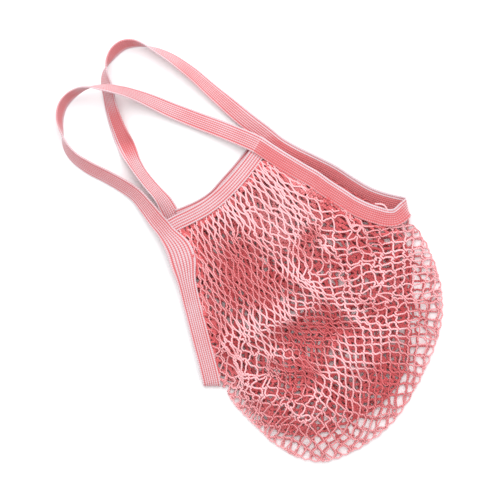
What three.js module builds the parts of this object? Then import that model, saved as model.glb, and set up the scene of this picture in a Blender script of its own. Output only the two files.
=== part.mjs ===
// String shopping bag of knotted cotton net, lying flat, with one long ribbed tape that binds
// both side openings and stands up as two hand loops.
// Millimetres, +Z up from the surface it lies on, +Y from the net's bottom towards the handles.
import * as THREE from 'three';

// Driving dimensions.
const BAG_WIDTH = 340;
const BAG_LENGTH = 580;
const TAPE_WIDTH = 22;
const NECK_TAPE_WIDTH = 19;
const TAPE_THICKNESS = 2.2;
const TAPE_BEVEL = 0.7;
const NET_WALL = 2;
const STRAND_WIDTH = 5;
const BELLY_RISE = 19;
const FOLD_HEIGHT = 4.6;
const FOLD_REACH = 7;
const BELLY_REACH = 46;
const NET_TUCK = 3.5;
const RIM_REACH = { front: 40, back: 18 };
const CLEARANCE = 0.3;

// Counts of the net: diamonds across one layer, rows down it, and straight lengths in a strand.
const NET_COLUMNS = 12;
const NET_ROWS = 8;
const STRAND_STEPS = 3;
const TAPE_STEPS = 2;
const NECK_STEPS = 3;

const DEGREE = Math.PI / 180;

// The long tape, one closed ring, station by station along its middle line.
// x: share of BAG_WIDTH. y: share of BAG_LENGTH.
// lift: share of TAPE_WIDTH from the surface to the tape's lower edge.
// azimuth: degrees, direction from the net's side of the tape to its free side, seen from above.
// lean: degrees, how far the free side stands above (+) or below (-) the net's side.
// flare: share of TAPE_WIDTH that the net's side spreads beyond the plain width.
const LONG_TAPE = [
  // Front handle: right leg, crossing, loop, left leg.
  { x: 0.268, y: 0.164, lift: 0.60, azimuth: 15, lean: 0, flare: 0 },
  { x: 0.238, y: 0.200, lift: 0.52, azimuth: 22, lean: -3, flare: 0 },
  { x: 0.197, y: 0.245, lift: 0.28, azimuth: 27, lean: -8, flare: 0 },
  { x: 0.153, y: 0.291, lift: 0.06, azimuth: 27, lean: -15, flare: 0 },
  { x: 0.109, y: 0.338, lift: 0.02, azimuth: 27, lean: -24, flare: 0 },
  { x: 0.075, y: 0.377, lift: 0.08, azimuth: 29, lean: -36, flare: 0 },
  { x: 0.041, y: 0.414, lift: 0.34, azimuth: 32, lean: -52, flare: 0 },
  { x: 0.012, y: 0.438, lift: 0.70, azimuth: 36, lean: -60, flare: 0 },
  { x: -0.024, y: 0.464, lift: 0.98, azimuth: 43, lean: -66, flare: 0 },
  { x: -0.059, y: 0.485, lift: 0.66, azimuth: 53, lean: -84, flare: 0 },
  { x: -0.097, y: 0.497, lift: 0.22, azimuth: 72, lean: -100, flare: 0 },
  { x: -0.141, y: 0.501, lift: 0.02, azimuth: 92, lean: -113, flare: 0 },
  { x: -0.185, y: 0.496, lift: 0, azimuth: 112, lean: -115, flare: 0 },
  { x: -0.224, y: 0.479, lift: 0, azimuth: 132, lean: -108, flare: 0 },
  { x: -0.253, y: 0.452, lift: 0, azimuth: 152, lean: -92, flare: 0 },
  { x: -0.272, y: 0.424, lift: 0, azimuth: 166, lean: -70, flare: 0 },
  { x: -0.275, y: 0.395, lift: 0, azimuth: 178, lean: -57, flare: 0 },
  { x: -0.259, y: 0.360, lift: 0, azimuth: 194, lean: -47, flare: 0 },
  { x: -0.232, y: 0.321, lift: 0, azimuth: 200, lean: -44, flare: 0 },
  { x: -0.206, y: 0.281, lift: 0.05, azimuth: 200, lean: -41, flare: 0 },
  { x: -0.191, y: 0.247, lift: 0.15, azimuth: 190, lean: -38, flare: 0 },
  { x: -0.190, y: 0.212, lift: 0.32, azimuth: 181, lean: -30, flare: 0 },
  { x: -0.193, y: 0.179, lift: 0.50, azimuth: 180, lean: -16, flare: 0 },
  { x: -0.194, y: 0.146, lift: 0.60, azimuth: 172, lean: 0, flare: 0 },
  // Left side binding, front half, down to the fold.
  { x: -0.210, y: 0.107, lift: 0.60, azimuth: 162, lean: 0, flare: 0.45 },
  { x: -0.235, y: 0.071, lift: 0.54, azimuth: 157, lean: 0, flare: 0.48 },
  { x: -0.256, y: 0.035, lift: 0.44, azimuth: 154, lean: 0, flare: 0.08 },
  { x: -0.291, y: -0.008, lift: 0.38, azimuth: 154, lean: 0, flare: 0 },
  { x: -0.327, y: -0.052, lift: 0.36, azimuth: 154, lean: 0, flare: 0 },
  { x: -0.362, y: -0.095, lift: 0.36, azimuth: 154, lean: 0, flare: 0 },
  { x: -0.394, y: -0.135, lift: 0.36, azimuth: 151, lean: 0, flare: 0 },
  { x: -0.413, y: -0.157, lift: 0.36, azimuth: 146, lean: 0, flare: 0 },
  { x: -0.422, y: -0.167, lift: 0.32, azimuth: 142, lean: 0, flare: 0 },
  { x: -0.426, y: -0.171, lift: 0.18, azimuth: 140, lean: 0, flare: 0 },
  // Left side binding, back half, up from the fold.
  { x: -0.422, y: -0.167, lift: 0.04, azimuth: 142, lean: 0, flare: 0 },
  { x: -0.413, y: -0.157, lift: 0, azimuth: 146, lean: 0, flare: 0 },
  { x: -0.394, y: -0.135, lift: 0, azimuth: 151, lean: 0, flare: 0 },
  { x: -0.362, y: -0.095, lift: 0, azimuth: 154, lean: 0, flare: 0 },
  { x: -0.327, y: -0.052, lift: 0, azimuth: 154, lean: 0, flare: 0 },
  { x: -0.291, y: -0.008, lift: 0, azimuth: 154, lean: 0, flare: 0 },
  { x: -0.256, y: 0.035, lift: 0, azimuth: 153, lean: 0, flare: 0 },
  { x: -0.215, y: 0.079, lift: 0, azimuth: 151, lean: 0, flare: 0 },
  { x: -0.176, y: 0.121, lift: 0, azimuth: 152, lean: 0, flare: 0 },
  // Back handle: left leg, crossing, loop, right leg.
  { x: -0.144, y: 0.159, lift: 0, azimuth: 160, lean: 0, flare: 0 },
  { x: -0.131, y: 0.190, lift: 0, azimuth: 172, lean: 18, flare: 0 },
  { x: -0.127, y: 0.216, lift: 0, azimuth: 180, lean: 42, flare: 0 },
  { x: -0.127, y: 0.250, lift: 0, azimuth: 181, lean: 46, flare: 0 },
  { x: -0.124, y: 0.284, lift: 0, azimuth: 177, lean: 46, flare: 0 },
  { x: -0.116, y: 0.314, lift: 0, azimuth: 169, lean: 33, flare: 0 },
  { x: -0.104, y: 0.341, lift: 0, azimuth: 163, lean: 4, flare: 0 },
  { x: -0.091, y: 0.369, lift: 0, azimuth: 159, lean: -24, flare: 0 },
  { x: -0.072, y: 0.402, lift: 0, azimuth: 152, lean: -36, flare: 0 },
  { x: -0.052, y: 0.428, lift: 0, azimuth: 148, lean: -44, flare: 0 },
  { x: -0.032, y: 0.450, lift: 0, azimuth: 150, lean: -48, flare: 0 },
  { x: -0.015, y: 0.469, lift: 0, azimuth: 150, lean: -51, flare: 0 },
  { x: 0.002, y: 0.485, lift: 0, azimuth: 141, lean: -64, flare: 0 },
  { x: 0.024, y: 0.498, lift: 0, azimuth: 128, lean: -84, flare: 0 },
  { x: 0.053, y: 0.507, lift: 0, azimuth: 110, lean: -104, flare: 0 },
  { x: 0.088, y: 0.513, lift: 0, azimuth: 95, lean: -118, flare: 0 },
  { x: 0.124, y: 0.512, lift: 0, azimuth: 80, lean: -119, flare: 0 },
  { x: 0.156, y: 0.502, lift: 0, azimuth: 58, lean: -111, flare: 0 },
  { x: 0.182, y: 0.486, lift: 0, azimuth: 42, lean: -95, flare: 0 },
  { x: 0.203, y: 0.464, lift: 0, azimuth: 28, lean: -76, flare: 0 },
  { x: 0.222, y: 0.438, lift: 0, azimuth: 19, lean: -62, flare: 0 },
  { x: 0.238, y: 0.409, lift: 0, azimuth: 15, lean: -52, flare: 0 },
  { x: 0.253, y: 0.371, lift: 0, azimuth: 12, lean: -44, flare: 0 },
  { x: 0.263, y: 0.333, lift: 0, azimuth: 10, lean: -38, flare: 0 },
  { x: 0.274, y: 0.293, lift: 0, azimuth: 10, lean: -28, flare: 0 },
  { x: 0.285, y: 0.255, lift: 0, azimuth: 11, lean: -14, flare: 0 },
  { x: 0.297, y: 0.217, lift: 0, azimuth: 14, lean: -4, flare: 0 },
  { x: 0.315, y: 0.170, lift: 0, azimuth: 16, lean: 0, flare: 0 },
  // Right side binding, back half, leaning open down to the corner.
  { x: 0.328, y: 0.132, lift: 0, azimuth: 18, lean: 3, flare: 0 },
  { x: 0.353, y: 0.093, lift: 0, azimuth: 21, lean: 14, flare: 0 },
  { x: 0.385, y: 0.053, lift: 0, azimuth: 24, lean: 24, flare: 0 },
  { x: 0.416, y: 0.011, lift: 0, azimuth: 23, lean: 30, flare: 0 },
  { x: 0.438, y: -0.032, lift: 0, azimuth: 21, lean: 31, flare: 0 },
  { x: 0.460, y: -0.069, lift: 0, azimuth: 25, lean: 30, flare: 0 },
  { x: 0.488, y: -0.099, lift: 0, azimuth: 34, lean: 26, flare: 0 },
  { x: 0.516, y: -0.123, lift: 0, azimuth: 44, lean: 18, flare: 0 },
  { x: 0.531, y: -0.135, lift: 0.02, azimuth: 52, lean: 11, flare: 0 },
  { x: 0.540, y: -0.142, lift: 0.12, azimuth: 58, lean: 5, flare: 0 },
  { x: 0.543, y: -0.145, lift: 0.31, azimuth: 60, lean: 0, flare: 0 },
  // Right side binding, front half, up to the neck.
  { x: 0.535, y: -0.147, lift: 0.52, azimuth: 60, lean: 0, flare: 0 },
  { x: 0.512, y: -0.149, lift: 0.60, azimuth: 60, lean: 0, flare: 0 },
  { x: 0.485, y: -0.147, lift: 0.60, azimuth: 60, lean: 0, flare: 0 },
  { x: 0.460, y: -0.136, lift: 0.60, azimuth: 53, lean: 0, flare: 0 },
  { x: 0.439, y: -0.119, lift: 0.60, azimuth: 41, lean: 0, flare: 0 },
  { x: 0.414, y: -0.095, lift: 0.60, azimuth: 30, lean: 0, flare: 0 },
  { x: 0.392, y: -0.066, lift: 0.60, azimuth: 22, lean: 0, flare: 0 },
  { x: 0.378, y: -0.038, lift: 0.60, azimuth: 17, lean: 0, flare: 0 },
  { x: 0.360, y: -0.005, lift: 0.60, azimuth: 16, lean: 0, flare: 0 },
  { x: 0.345, y: 0.029, lift: 0.60, azimuth: 17, lean: 0, flare: 0 },
  { x: 0.328, y: 0.056, lift: 0.60, azimuth: 18, lean: 0, flare: 0 },
  { x: 0.313, y: 0.081, lift: 0.60, azimuth: 18, lean: 0, flare: 0 },
  { x: 0.298, y: 0.107, lift: 0.60, azimuth: 18, lean: 0, flare: 0 },
  { x: 0.284, y: 0.133, lift: 0.60, azimuth: 17, lean: 0, flare: 0 },
];

// Middle lines of the two neck tapes. x: share of BAG_WIDTH. y: share of BAG_LENGTH.
// crown: share of TAPE_WIDTH that the tape stands above (+) or below (-) the level of its ends.
const FRONT_NECK = [
  { x: -0.182, y: 0.150, crown: 0 },
  { x: -0.140, y: 0.146, crown: 0.02 },
  { x: -0.088, y: 0.138, crown: 0.12 },
  { x: -0.029, y: 0.131, crown: 0.19 },
  { x: 0.029, y: 0.129, crown: 0.21 },
  { x: 0.088, y: 0.131, crown: 0.19 },
  { x: 0.147, y: 0.136, crown: 0.12 },
  { x: 0.206, y: 0.143, crown: 0.02 },
  { x: 0.262, y: 0.151, crown: 0 },
];
const BACK_NECK = [
  { x: -0.124, y: 0.155, crown: 0.02 },
  { x: -0.088, y: 0.148, crown: -0.02 },
  { x: -0.029, y: 0.139, crown: -0.10 },
  { x: 0.029, y: 0.136, crown: -0.11 },
  { x: 0.088, y: 0.141, crown: -0.11 },
  { x: 0.147, y: 0.146, crown: -0.10 },
  { x: 0.206, y: 0.152, crown: -0.05 },
  { x: 0.262, y: 0.158, crown: 0 },
  { x: 0.298, y: 0.161, crown: 0 },
];

// Outline of the net below the two side bindings. x: share of BAG_WIDTH. y: share of BAG_LENGTH.
const LEFT_EDGE = [
  { x: -0.389, y: -0.196 },
  { x: -0.400, y: -0.224 },
  { x: -0.400, y: -0.259 },
  { x: -0.394, y: -0.302 },
  { x: -0.385, y: -0.345 },
  { x: -0.368, y: -0.383 },
  { x: -0.335, y: -0.419 },
];
const BOTTOM_EDGE = [
  { x: -0.335, y: -0.419 },
  { x: -0.288, y: -0.448 },
  { x: -0.221, y: -0.466 },
  { x: -0.147, y: -0.476 },
  { x: -0.074, y: -0.480 },
  { x: 0.000, y: -0.477 },
  { x: 0.074, y: -0.467 },
  { x: 0.147, y: -0.452 },
  { x: 0.221, y: -0.433 },
  { x: 0.294, y: -0.410 },
  { x: 0.368, y: -0.379 },
];
const RIGHT_EDGE = [
  { x: 0.508, y: -0.170 },
  { x: 0.517, y: -0.192 },
  { x: 0.512, y: -0.216 },
  { x: 0.494, y: -0.259 },
  { x: 0.465, y: -0.302 },
  { x: 0.427, y: -0.341 },
  { x: 0.368, y: -0.379 },
];

// Folds of the upper layer, each a soft ridge or dent along a line.
// x0, x1: shares of BAG_WIDTH. y0, y1: shares of BAG_LENGTH. reach: share of BAG_WIDTH to each side.
// rise: share of BELLY_RISE.
const FOLDS = [
  { x0: -0.29, y0: -0.13, x1: 0.00, y1: -0.16, reach: 0.050, rise: 0.38 },
  { x0: -0.16, y0: -0.34, x1: 0.20, y1: -0.33, reach: 0.050, rise: 0.42 },
  { x0: 0.13, y0: -0.17, x1: 0.15, y1: -0.32, reach: 0.045, rise: 0.34 },
  { x0: -0.31, y0: -0.17, x1: -0.26, y1: -0.34, reach: 0.045, rise: 0.34 },
  { x0: 0.13, y0: -0.02, x1: 0.22, y1: -0.08, reach: 0.060, rise: 0.36 },
  { x0: 0.29, y0: -0.23, x1: 0.43, y1: -0.20, reach: 0.050, rise: 0.30 },
  { x0: -0.13, y0: -0.20, x1: 0.05, y1: -0.27, reach: 0.070, rise: -0.42 },
  { x0: -0.22, y0: -0.24, x1: -0.13, y1: -0.32, reach: 0.055, rise: -0.36 },
];

// Where the rim of one layer passes from a side binding to the neck tape, as shares across.
const NECK_FROM = 0.30;
const NECK_TO = 0.70;

// Stations of the long tape, counted from the front handle's right leg, where the net's rim
// starts and ends on each half of each side binding.
const RIM_STATIONS = {
  front: { left: [33, 23.7], right: [81, 94.3] },
  back: { left: [33, 41.8], right: [81, 71.6] },
};

function sizedPoint(row) {
  return new THREE.Vector3(row.x * BAG_WIDTH, row.y * BAG_LENGTH, 0);
}

// One closed body from a list of points and faces, turned so that its faces look outwards.
function closedBody(points, faces) {
  // What reaches the surface it lies on is pressed flat there.
  for (const point of points) {
    point.z = Math.max(0, point.z);
  }
  let volume = 0;
  for (const [a, b, c] of faces) {
    volume += points[a].dot(points[b].clone().cross(points[c])) / 6;
  }
  const index = [];
  for (const [a, b, c] of faces) {
    if (volume < 0) {
      index.push(a, c, b);
    } else {
      index.push(a, b, c);
    }
  }
  const flat = new Float32Array(points.length * 3);
  points.forEach((point, i) => point.toArray(flat, i * 3));
  const geometry = new THREE.BufferGeometry();
  geometry.setAttribute('position', new THREE.BufferAttribute(flat, 3));
  geometry.setIndex(index);
  geometry.computeVertexNormals();
  return geometry;
}

// Section of a tape: a flat strip with bevelled edges, as [across, through] in millimetres.
function tapeSection(width, flare) {
  const half = width / 2;
  const inner = -half - flare;
  const up = TAPE_THICKNESS / 2;
  const edge = up - TAPE_BEVEL;
  return [
    [inner, -edge],
    [inner + TAPE_BEVEL, -up],
    [half - TAPE_BEVEL, -up],
    [half, -edge],
    [half, edge],
    [half - TAPE_BEVEL, up],
    [inner + TAPE_BEVEL, up],
    [inner, edge],
  ];
}

// Skin a run of sections, closed on itself or with a flat end at each side.
function skin(sections, ring) {
  const points = [];
  const faces = [];
  const around = sections[0].length;
  for (const section of sections) {
    points.push(...section);
  }
  const spans = ring ? sections.length : sections.length - 1;
  for (let i = 0; i < spans; i += 1) {
    const here = i * around;
    const next = ((i + 1) % sections.length) * around;
    for (let k = 0; k < around; k += 1) {
      const l = (k + 1) % around;
      faces.push([here + k, here + l, next + l]);
      faces.push([here + k, next + l, next + k]);
    }
  }
  if (!ring) {
    const last = (sections.length - 1) * around;
    for (let k = 1; k < around - 1; k += 1) {
      faces.push([0, k + 1, k]);
      faces.push([last, last + k, last + k + 1]);
    }
  }
  return closedBody(points, faces);
}

// The long tape's middle line, and how it is turned, as smooth curves over its stations.
const tapeLine = new THREE.CatmullRomCurve3(
  LONG_TAPE.map((row) => {
    const rise = Math.abs(Math.sin(row.lean * DEGREE)) * TAPE_WIDTH / 2;
    const point = sizedPoint(row);
    point.z = row.lift * TAPE_WIDTH + TAPE_THICKNESS / 2 + rise;
    return point;
  }),
  true,
  'centripetal',
);
const tapeTurn = new THREE.CatmullRomCurve3(
  LONG_TAPE.map((row) => new THREE.Vector3(row.azimuth, row.lean, row.flare)),
  true,
  'catmullrom',
  0.5,
);

// Frame of the long tape at a station: middle point, direction across, outward face and flare.
function tapeFrame(station) {
  const count = LONG_TAPE.length;
  const t = (((station / count) % 1) + 1) % 1;
  const step = 0.02 / count;
  const point = tapeLine.getPoint(t);
  const ahead = tapeLine.getPoint((t + step) % 1);
  const behind = tapeLine.getPoint((t - step + 1) % 1);
  const along = ahead.sub(behind).normalize();
  const turn = tapeTurn.getPoint(t);
  const azimuth = turn.x * DEGREE;
  const lean = turn.y * DEGREE;
  const across = new THREE.Vector3(
    Math.cos(azimuth) * Math.cos(lean),
    Math.sin(azimuth) * Math.cos(lean),
    Math.sin(lean),
  );
  across.addScaledVector(along, -across.dot(along)).normalize();
  const face = across.clone().cross(along).normalize();
  return { point, across, face, flare: Math.max(0, turn.z) * TAPE_WIDTH };
}

function onFrame(frame, across, through) {
  return frame.point.clone()
    .addScaledVector(frame.across, across)
    .addScaledVector(frame.face, through);
}

function longTape() {
  const sections = [];
  for (let i = 0; i < LONG_TAPE.length * TAPE_STEPS; i += 1) {
    const frame = tapeFrame(i / TAPE_STEPS);
    const section = tapeSection(TAPE_WIDTH, frame.flare);
    sections.push(section.map(([across, through]) => onFrame(frame, across, through)));
  }
  return skin(sections, true);
}

// Levels of the neck tapes' ends: one layer below the front binding, one above the back binding.
const FRONT_NECK_LEVEL = 0.60 * TAPE_WIDTH - CLEARANCE - TAPE_THICKNESS / 2;
const BACK_NECK_LEVEL = TAPE_THICKNESS + CLEARANCE + TAPE_THICKNESS / 2;

function neckCurve(rows, level) {
  return new THREE.CatmullRomCurve3(rows.map((row) => {
    const point = sizedPoint(row);
    point.z = level + row.crown * TAPE_WIDTH;
    return point;
  }));
}

const NECKS = {
  front: { rows: FRONT_NECK, curve: neckCurve(FRONT_NECK, FRONT_NECK_LEVEL), face: 1 },
  back: { rows: BACK_NECK, curve: neckCurve(BACK_NECK, BACK_NECK_LEVEL), face: -1 },
};

// Frame of a neck tape at a share of its length: its face looks away from the inside of the bag.
function neckFrame(neck, share) {
  const point = neck.curve.getPoint(share);
  const ahead = neck.curve.getPoint(Math.min(1, share + 0.004));
  const behind = neck.curve.getPoint(Math.max(0, share - 0.004));
  const along = ahead.sub(behind).normalize();
  const across = new THREE.Vector3(-along.y, along.x, 0).normalize();
  const face = along.clone().cross(across).multiplyScalar(neck.face);
  return { point, across, face, flare: 0 };
}

function neckTape(neck) {
  const sections = [];
  const spans = (neck.rows.length - 1) * NECK_STEPS;
  for (let i = 0; i <= spans; i += 1) {
    const frame = neckFrame(neck, i / spans);
    const section = tapeSection(NECK_TAPE_WIDTH, 0);
    sections.push(section.map(([across, through]) => onFrame(frame, across, through)));
  }
  return skin(sections, false);
}

// Point of the net's rim on one layer, at a share across it. The rim lies against the inner
// side of the tapes, a little way in from their edge.
// way: share of the side binding from its fold (0) to the neck (1). Close to the neck the rim
// leaves room for the end of the neck tape.
function rimOnTape(layer, station, way) {
  const frame = tapeFrame(station);
  const tilt = 0.7 * STRAND_WIDTH * Math.abs(frame.across.z);
  const turn = 1 - smooth(way * 8);
  const through = TAPE_THICKNESS / 2 + CLEARANCE + NET_WALL / 2 + tilt + 0.9 * turn;
  const tuck = NET_TUCK * (1 - 0.95 * turn);
  const point = onFrame(frame, tuck - TAPE_WIDTH / 2 - frame.flare, -through);
  const room = (TAPE_THICKNESS + 5 * CLEARANCE) * smooth((way - 0.62) / 0.35);
  point.z += layer === 'front' ? -room : room;
  return point;
}

function rimOnNeck(neck, share) {
  const frame = neckFrame(neck, share);
  const through = TAPE_THICKNESS / 2 + CLEARANCE + NET_WALL / 2;
  return onFrame(frame, NET_TUCK - NECK_TAPE_WIDTH / 2, -through);
}

function rimPoint(layer, share) {
  const stations = RIM_STATIONS[layer];
  if (share <= NECK_FROM) {
    const [from, to] = stations.left;
    const way = (share / NECK_FROM) ** 0.8;
    return rimOnTape(layer, from + (to - from) * way, way);
  }
  if (share >= NECK_TO) {
    const [from, to] = stations.right;
    const way = ((1 - share) / (1 - NECK_TO)) ** 0.8;
    return rimOnTape(layer, from + (to - from) * way, way);
  }
  const along = (share - NECK_FROM) / (NECK_TO - NECK_FROM);
  return rimOnNeck(NECKS[layer], 0.09 + 0.80 * along);
}

const leftLine = new THREE.CatmullRomCurve3(
  [rimPoint('front', 0), ...LEFT_EDGE.map(sizedPoint)],
);
const rightLine = new THREE.CatmullRomCurve3(
  [rimPoint('front', 1), ...RIGHT_EDGE.map(sizedPoint)],
);
const bottomLine = new THREE.CatmullRomCurve3(BOTTOM_EDGE.map(sizedPoint));

// The rim of each layer as a run of short straight lengths, to measure how far a place is from it.
const RIM_LENGTHS = 80;
const rims = {};
for (const layer of ['front', 'back']) {
  rims[layer] = [];
  for (let i = 0; i <= RIM_LENGTHS; i += 1) {
    rims[layer].push(rimPoint(layer, i / RIM_LENGTHS));
  }
}

// Distance from the rim, seen from above, and the level of the rim at its nearest place.
function nearestRim(layer, x, y) {
  let best = { distance: Infinity, level: 0 };
  const rim = rims[layer];
  for (let i = 0; i < RIM_LENGTHS; i += 1) {
    const a = rim[i];
    const b = rim[i + 1];
    const dx = b.x - a.x;
    const dy = b.y - a.y;
    const t = Math.min(1, Math.max(0, ((x - a.x) * dx + (y - a.y) * dy) / (dx * dx + dy * dy)));
    const distance = Math.hypot(x - a.x - t * dx, y - a.y - t * dy);
    if (distance < best.distance) {
      best = { distance, level: a.z + t * (b.z - a.z) };
    }
  }
  return best;
}

function smooth(value) {
  const v = Math.min(1, Math.max(0, value));
  return v * v * (3 - 2 * v);
}

// Height that the folds add to the upper layer at a place seen from above.
function foldHeight(x, y) {
  let height = 0;
  for (const fold of FOLDS) {
    const ax = fold.x0 * BAG_WIDTH;
    const ay = fold.y0 * BAG_LENGTH;
    const dx = fold.x1 * BAG_WIDTH - ax;
    const dy = fold.y1 * BAG_LENGTH - ay;
    const t = Math.min(1, Math.max(0, ((x - ax) * dx + (y - ay) * dy) / (dx * dx + dy * dy)));
    const distance = Math.hypot(x - ax - t * dx, y - ay - t * dy);
    const near = distance / (fold.reach * BAG_WIDTH);
    height += fold.rise * BELLY_RISE * Math.exp(-near * near);
  }
  return height;
}

// Point of the net's middle surface. layer: front or back. s: share across, from the left edge.
// t: share down, from the rim. The two layers meet along both edges and the bottom.
function netPoint(layer, s, t) {
  const top = rimPoint(layer, s);
  const left = leftLine.getPointAt(t);
  const right = rightLine.getPointAt(t);
  const bottom = bottomLine.getPointAt(s);
  const topLeft = rimPoint(layer, 0);
  const topRight = rimPoint(layer, 1);
  const bottomLeft = bottomLine.getPointAt(0);
  const bottomRight = bottomLine.getPointAt(1);
  const place = (axis) => (
    (1 - t) * top[axis] + t * bottom[axis]
    + (1 - s) * left[axis] + s * right[axis]
    - (1 - s) * (1 - t) * topLeft[axis] - s * (1 - t) * topRight[axis]
    - (1 - s) * t * bottomLeft[axis] - s * t * bottomRight[axis]
  );
  const x = place('x');
  const y = place('y');
  const across = left.distanceTo(right);
  const down = Math.hypot(top.x - bottom.x, top.y - bottom.y);
  const inward = Math.min(s, 1 - s) * across;
  const upward = (1 - t) * down;
  const round = (reach) => {
    const a = Math.min(1, inward / reach);
    const b = Math.min(1, upward / reach);
    return Math.sqrt(1 - (1 - a) ** 2) * Math.sqrt(1 - (1 - b) ** 2);
  };
  const middle = FOLD_HEIGHT;
  const floor = NET_WALL / 2;
  let level = middle - (middle - floor) * round(FOLD_REACH);
  if (layer === 'front') {
    const belly = BELLY_RISE - middle + foldHeight(x, y);
    level = middle + 0.3 * (BELLY_RISE - middle) * round(FOLD_REACH);
    level += (belly - 0.3 * (BELLY_RISE - middle)) * round(BELLY_REACH);
    level = Math.max(level, middle + 2.2 * round(FOLD_REACH));
  }
  const rim = nearestRim(layer, x, y);
  const settled = smooth((rim.distance - NET_TUCK) / RIM_REACH[layer]);
  const inside = rim.level + (level - rim.level) * settled;
  const corner = s < 0.5 ? topLeft.z : topRight.z;
  const edge = corner + (middle - corner) * smooth((t * down) / RIM_REACH.back);
  return new THREE.Vector3(x, y, edge + (inside - edge) * round(FOLD_REACH));
}

function netNormal(layer, s, t) {
  const step = 0.004;
  const s0 = Math.max(0, s - step);
  const s1 = Math.min(1, s + step);
  const t0 = Math.max(0, t - step);
  const t1 = Math.min(1, t + step);
  const across = netPoint(layer, s1, t).sub(netPoint(layer, s0, t));
  const down = netPoint(layer, s, t1).sub(netPoint(layer, s, t0));
  const normal = down.cross(across).normalize();
  if (normal.z < 0) {
    normal.negate();
  }
  return layer === 'front' ? normal : normal.negate();
}

// Outward direction on the fold between the layers, level with the surface it lies on.
function edgeNormal(s, t) {
  const step = 0.01;
  const here = netPoint('front', s, t);
  const inS = Math.min(1 - step, Math.max(step, s));
  const inT = Math.min(1 - step, t);
  const inside = netPoint('front', inS, inT);
  const out = here.sub(inside);
  out.z = 0;
  return out.normalize();
}

function onFold(i, j) {
  return i === 0 || i === NET_COLUMNS || j === NET_ROWS;
}

function surfaceAt(layer, i, j) {
  const s = i / NET_COLUMNS;
  const t = j / NET_ROWS;
  if (onFold(i, j)) {
    return { point: netPoint('front', s, t), normal: edgeNormal(s, t) };
  }
  return { point: netPoint(layer, s, t), normal: netNormal(layer, s, t) };
}

function knotKey(layer, i, j) {
  return onFold(i, j) ? `both:${i}:${j}` : `${layer}:${i}:${j}`;
}

// Neighbours of a knot in turn, seen from outside the bag. Each names a layer and a step. The
// name edge is for the strands that follow the fold between the layers.
function neighbourSteps(layer, i, j) {
  const step = (name, di, dj) => ({ layer: name, di, dj });
  const atLeft = i === 0;
  const atRight = i === NET_COLUMNS;
  if (j === NET_ROWS) {
    const right = atRight ? [step('edge', 0, -2)] : [step('edge', 2, 0)];
    const left = atLeft ? [step('edge', 0, -2)] : [step('edge', -2, 0)];
    const fronts = [];
    const backs = [];
    if (!atRight) {
      fronts.push(step('front', 1, -1));
      backs.push(step('back', 1, -1));
    }
    if (!atLeft) {
      fronts.push(step('front', -1, -1));
      backs.unshift(step('back', -1, -1));
    }
    return [...right, ...fronts, ...left, ...backs];
  }
  if (atLeft || atRight) {
    const inward = atLeft ? 1 : -1;
    const first = atLeft ? 'front' : 'back';
    const second = atLeft ? 'back' : 'front';
    const below = [step(second, inward, 1), step('edge', 0, 2), step(first, inward, 1)];
    if (j === 0) {
      return [step(first, 2 * inward, 0), step(second, 2 * inward, 0), ...below];
    }
    return [step(first, inward, -1), step('edge', 0, -2), step(second, inward, -1), ...below];
  }
  const steps = j === 0
    ? [step(layer, 2, 0), step(layer, -2, 0), step(layer, -1, 1), step(layer, 1, 1)]
    : [step(layer, 1, -1), step(layer, -1, -1), step(layer, -1, 1), step(layer, 1, 1)];
  return layer === 'front' ? steps : steps.reverse();
}

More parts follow.
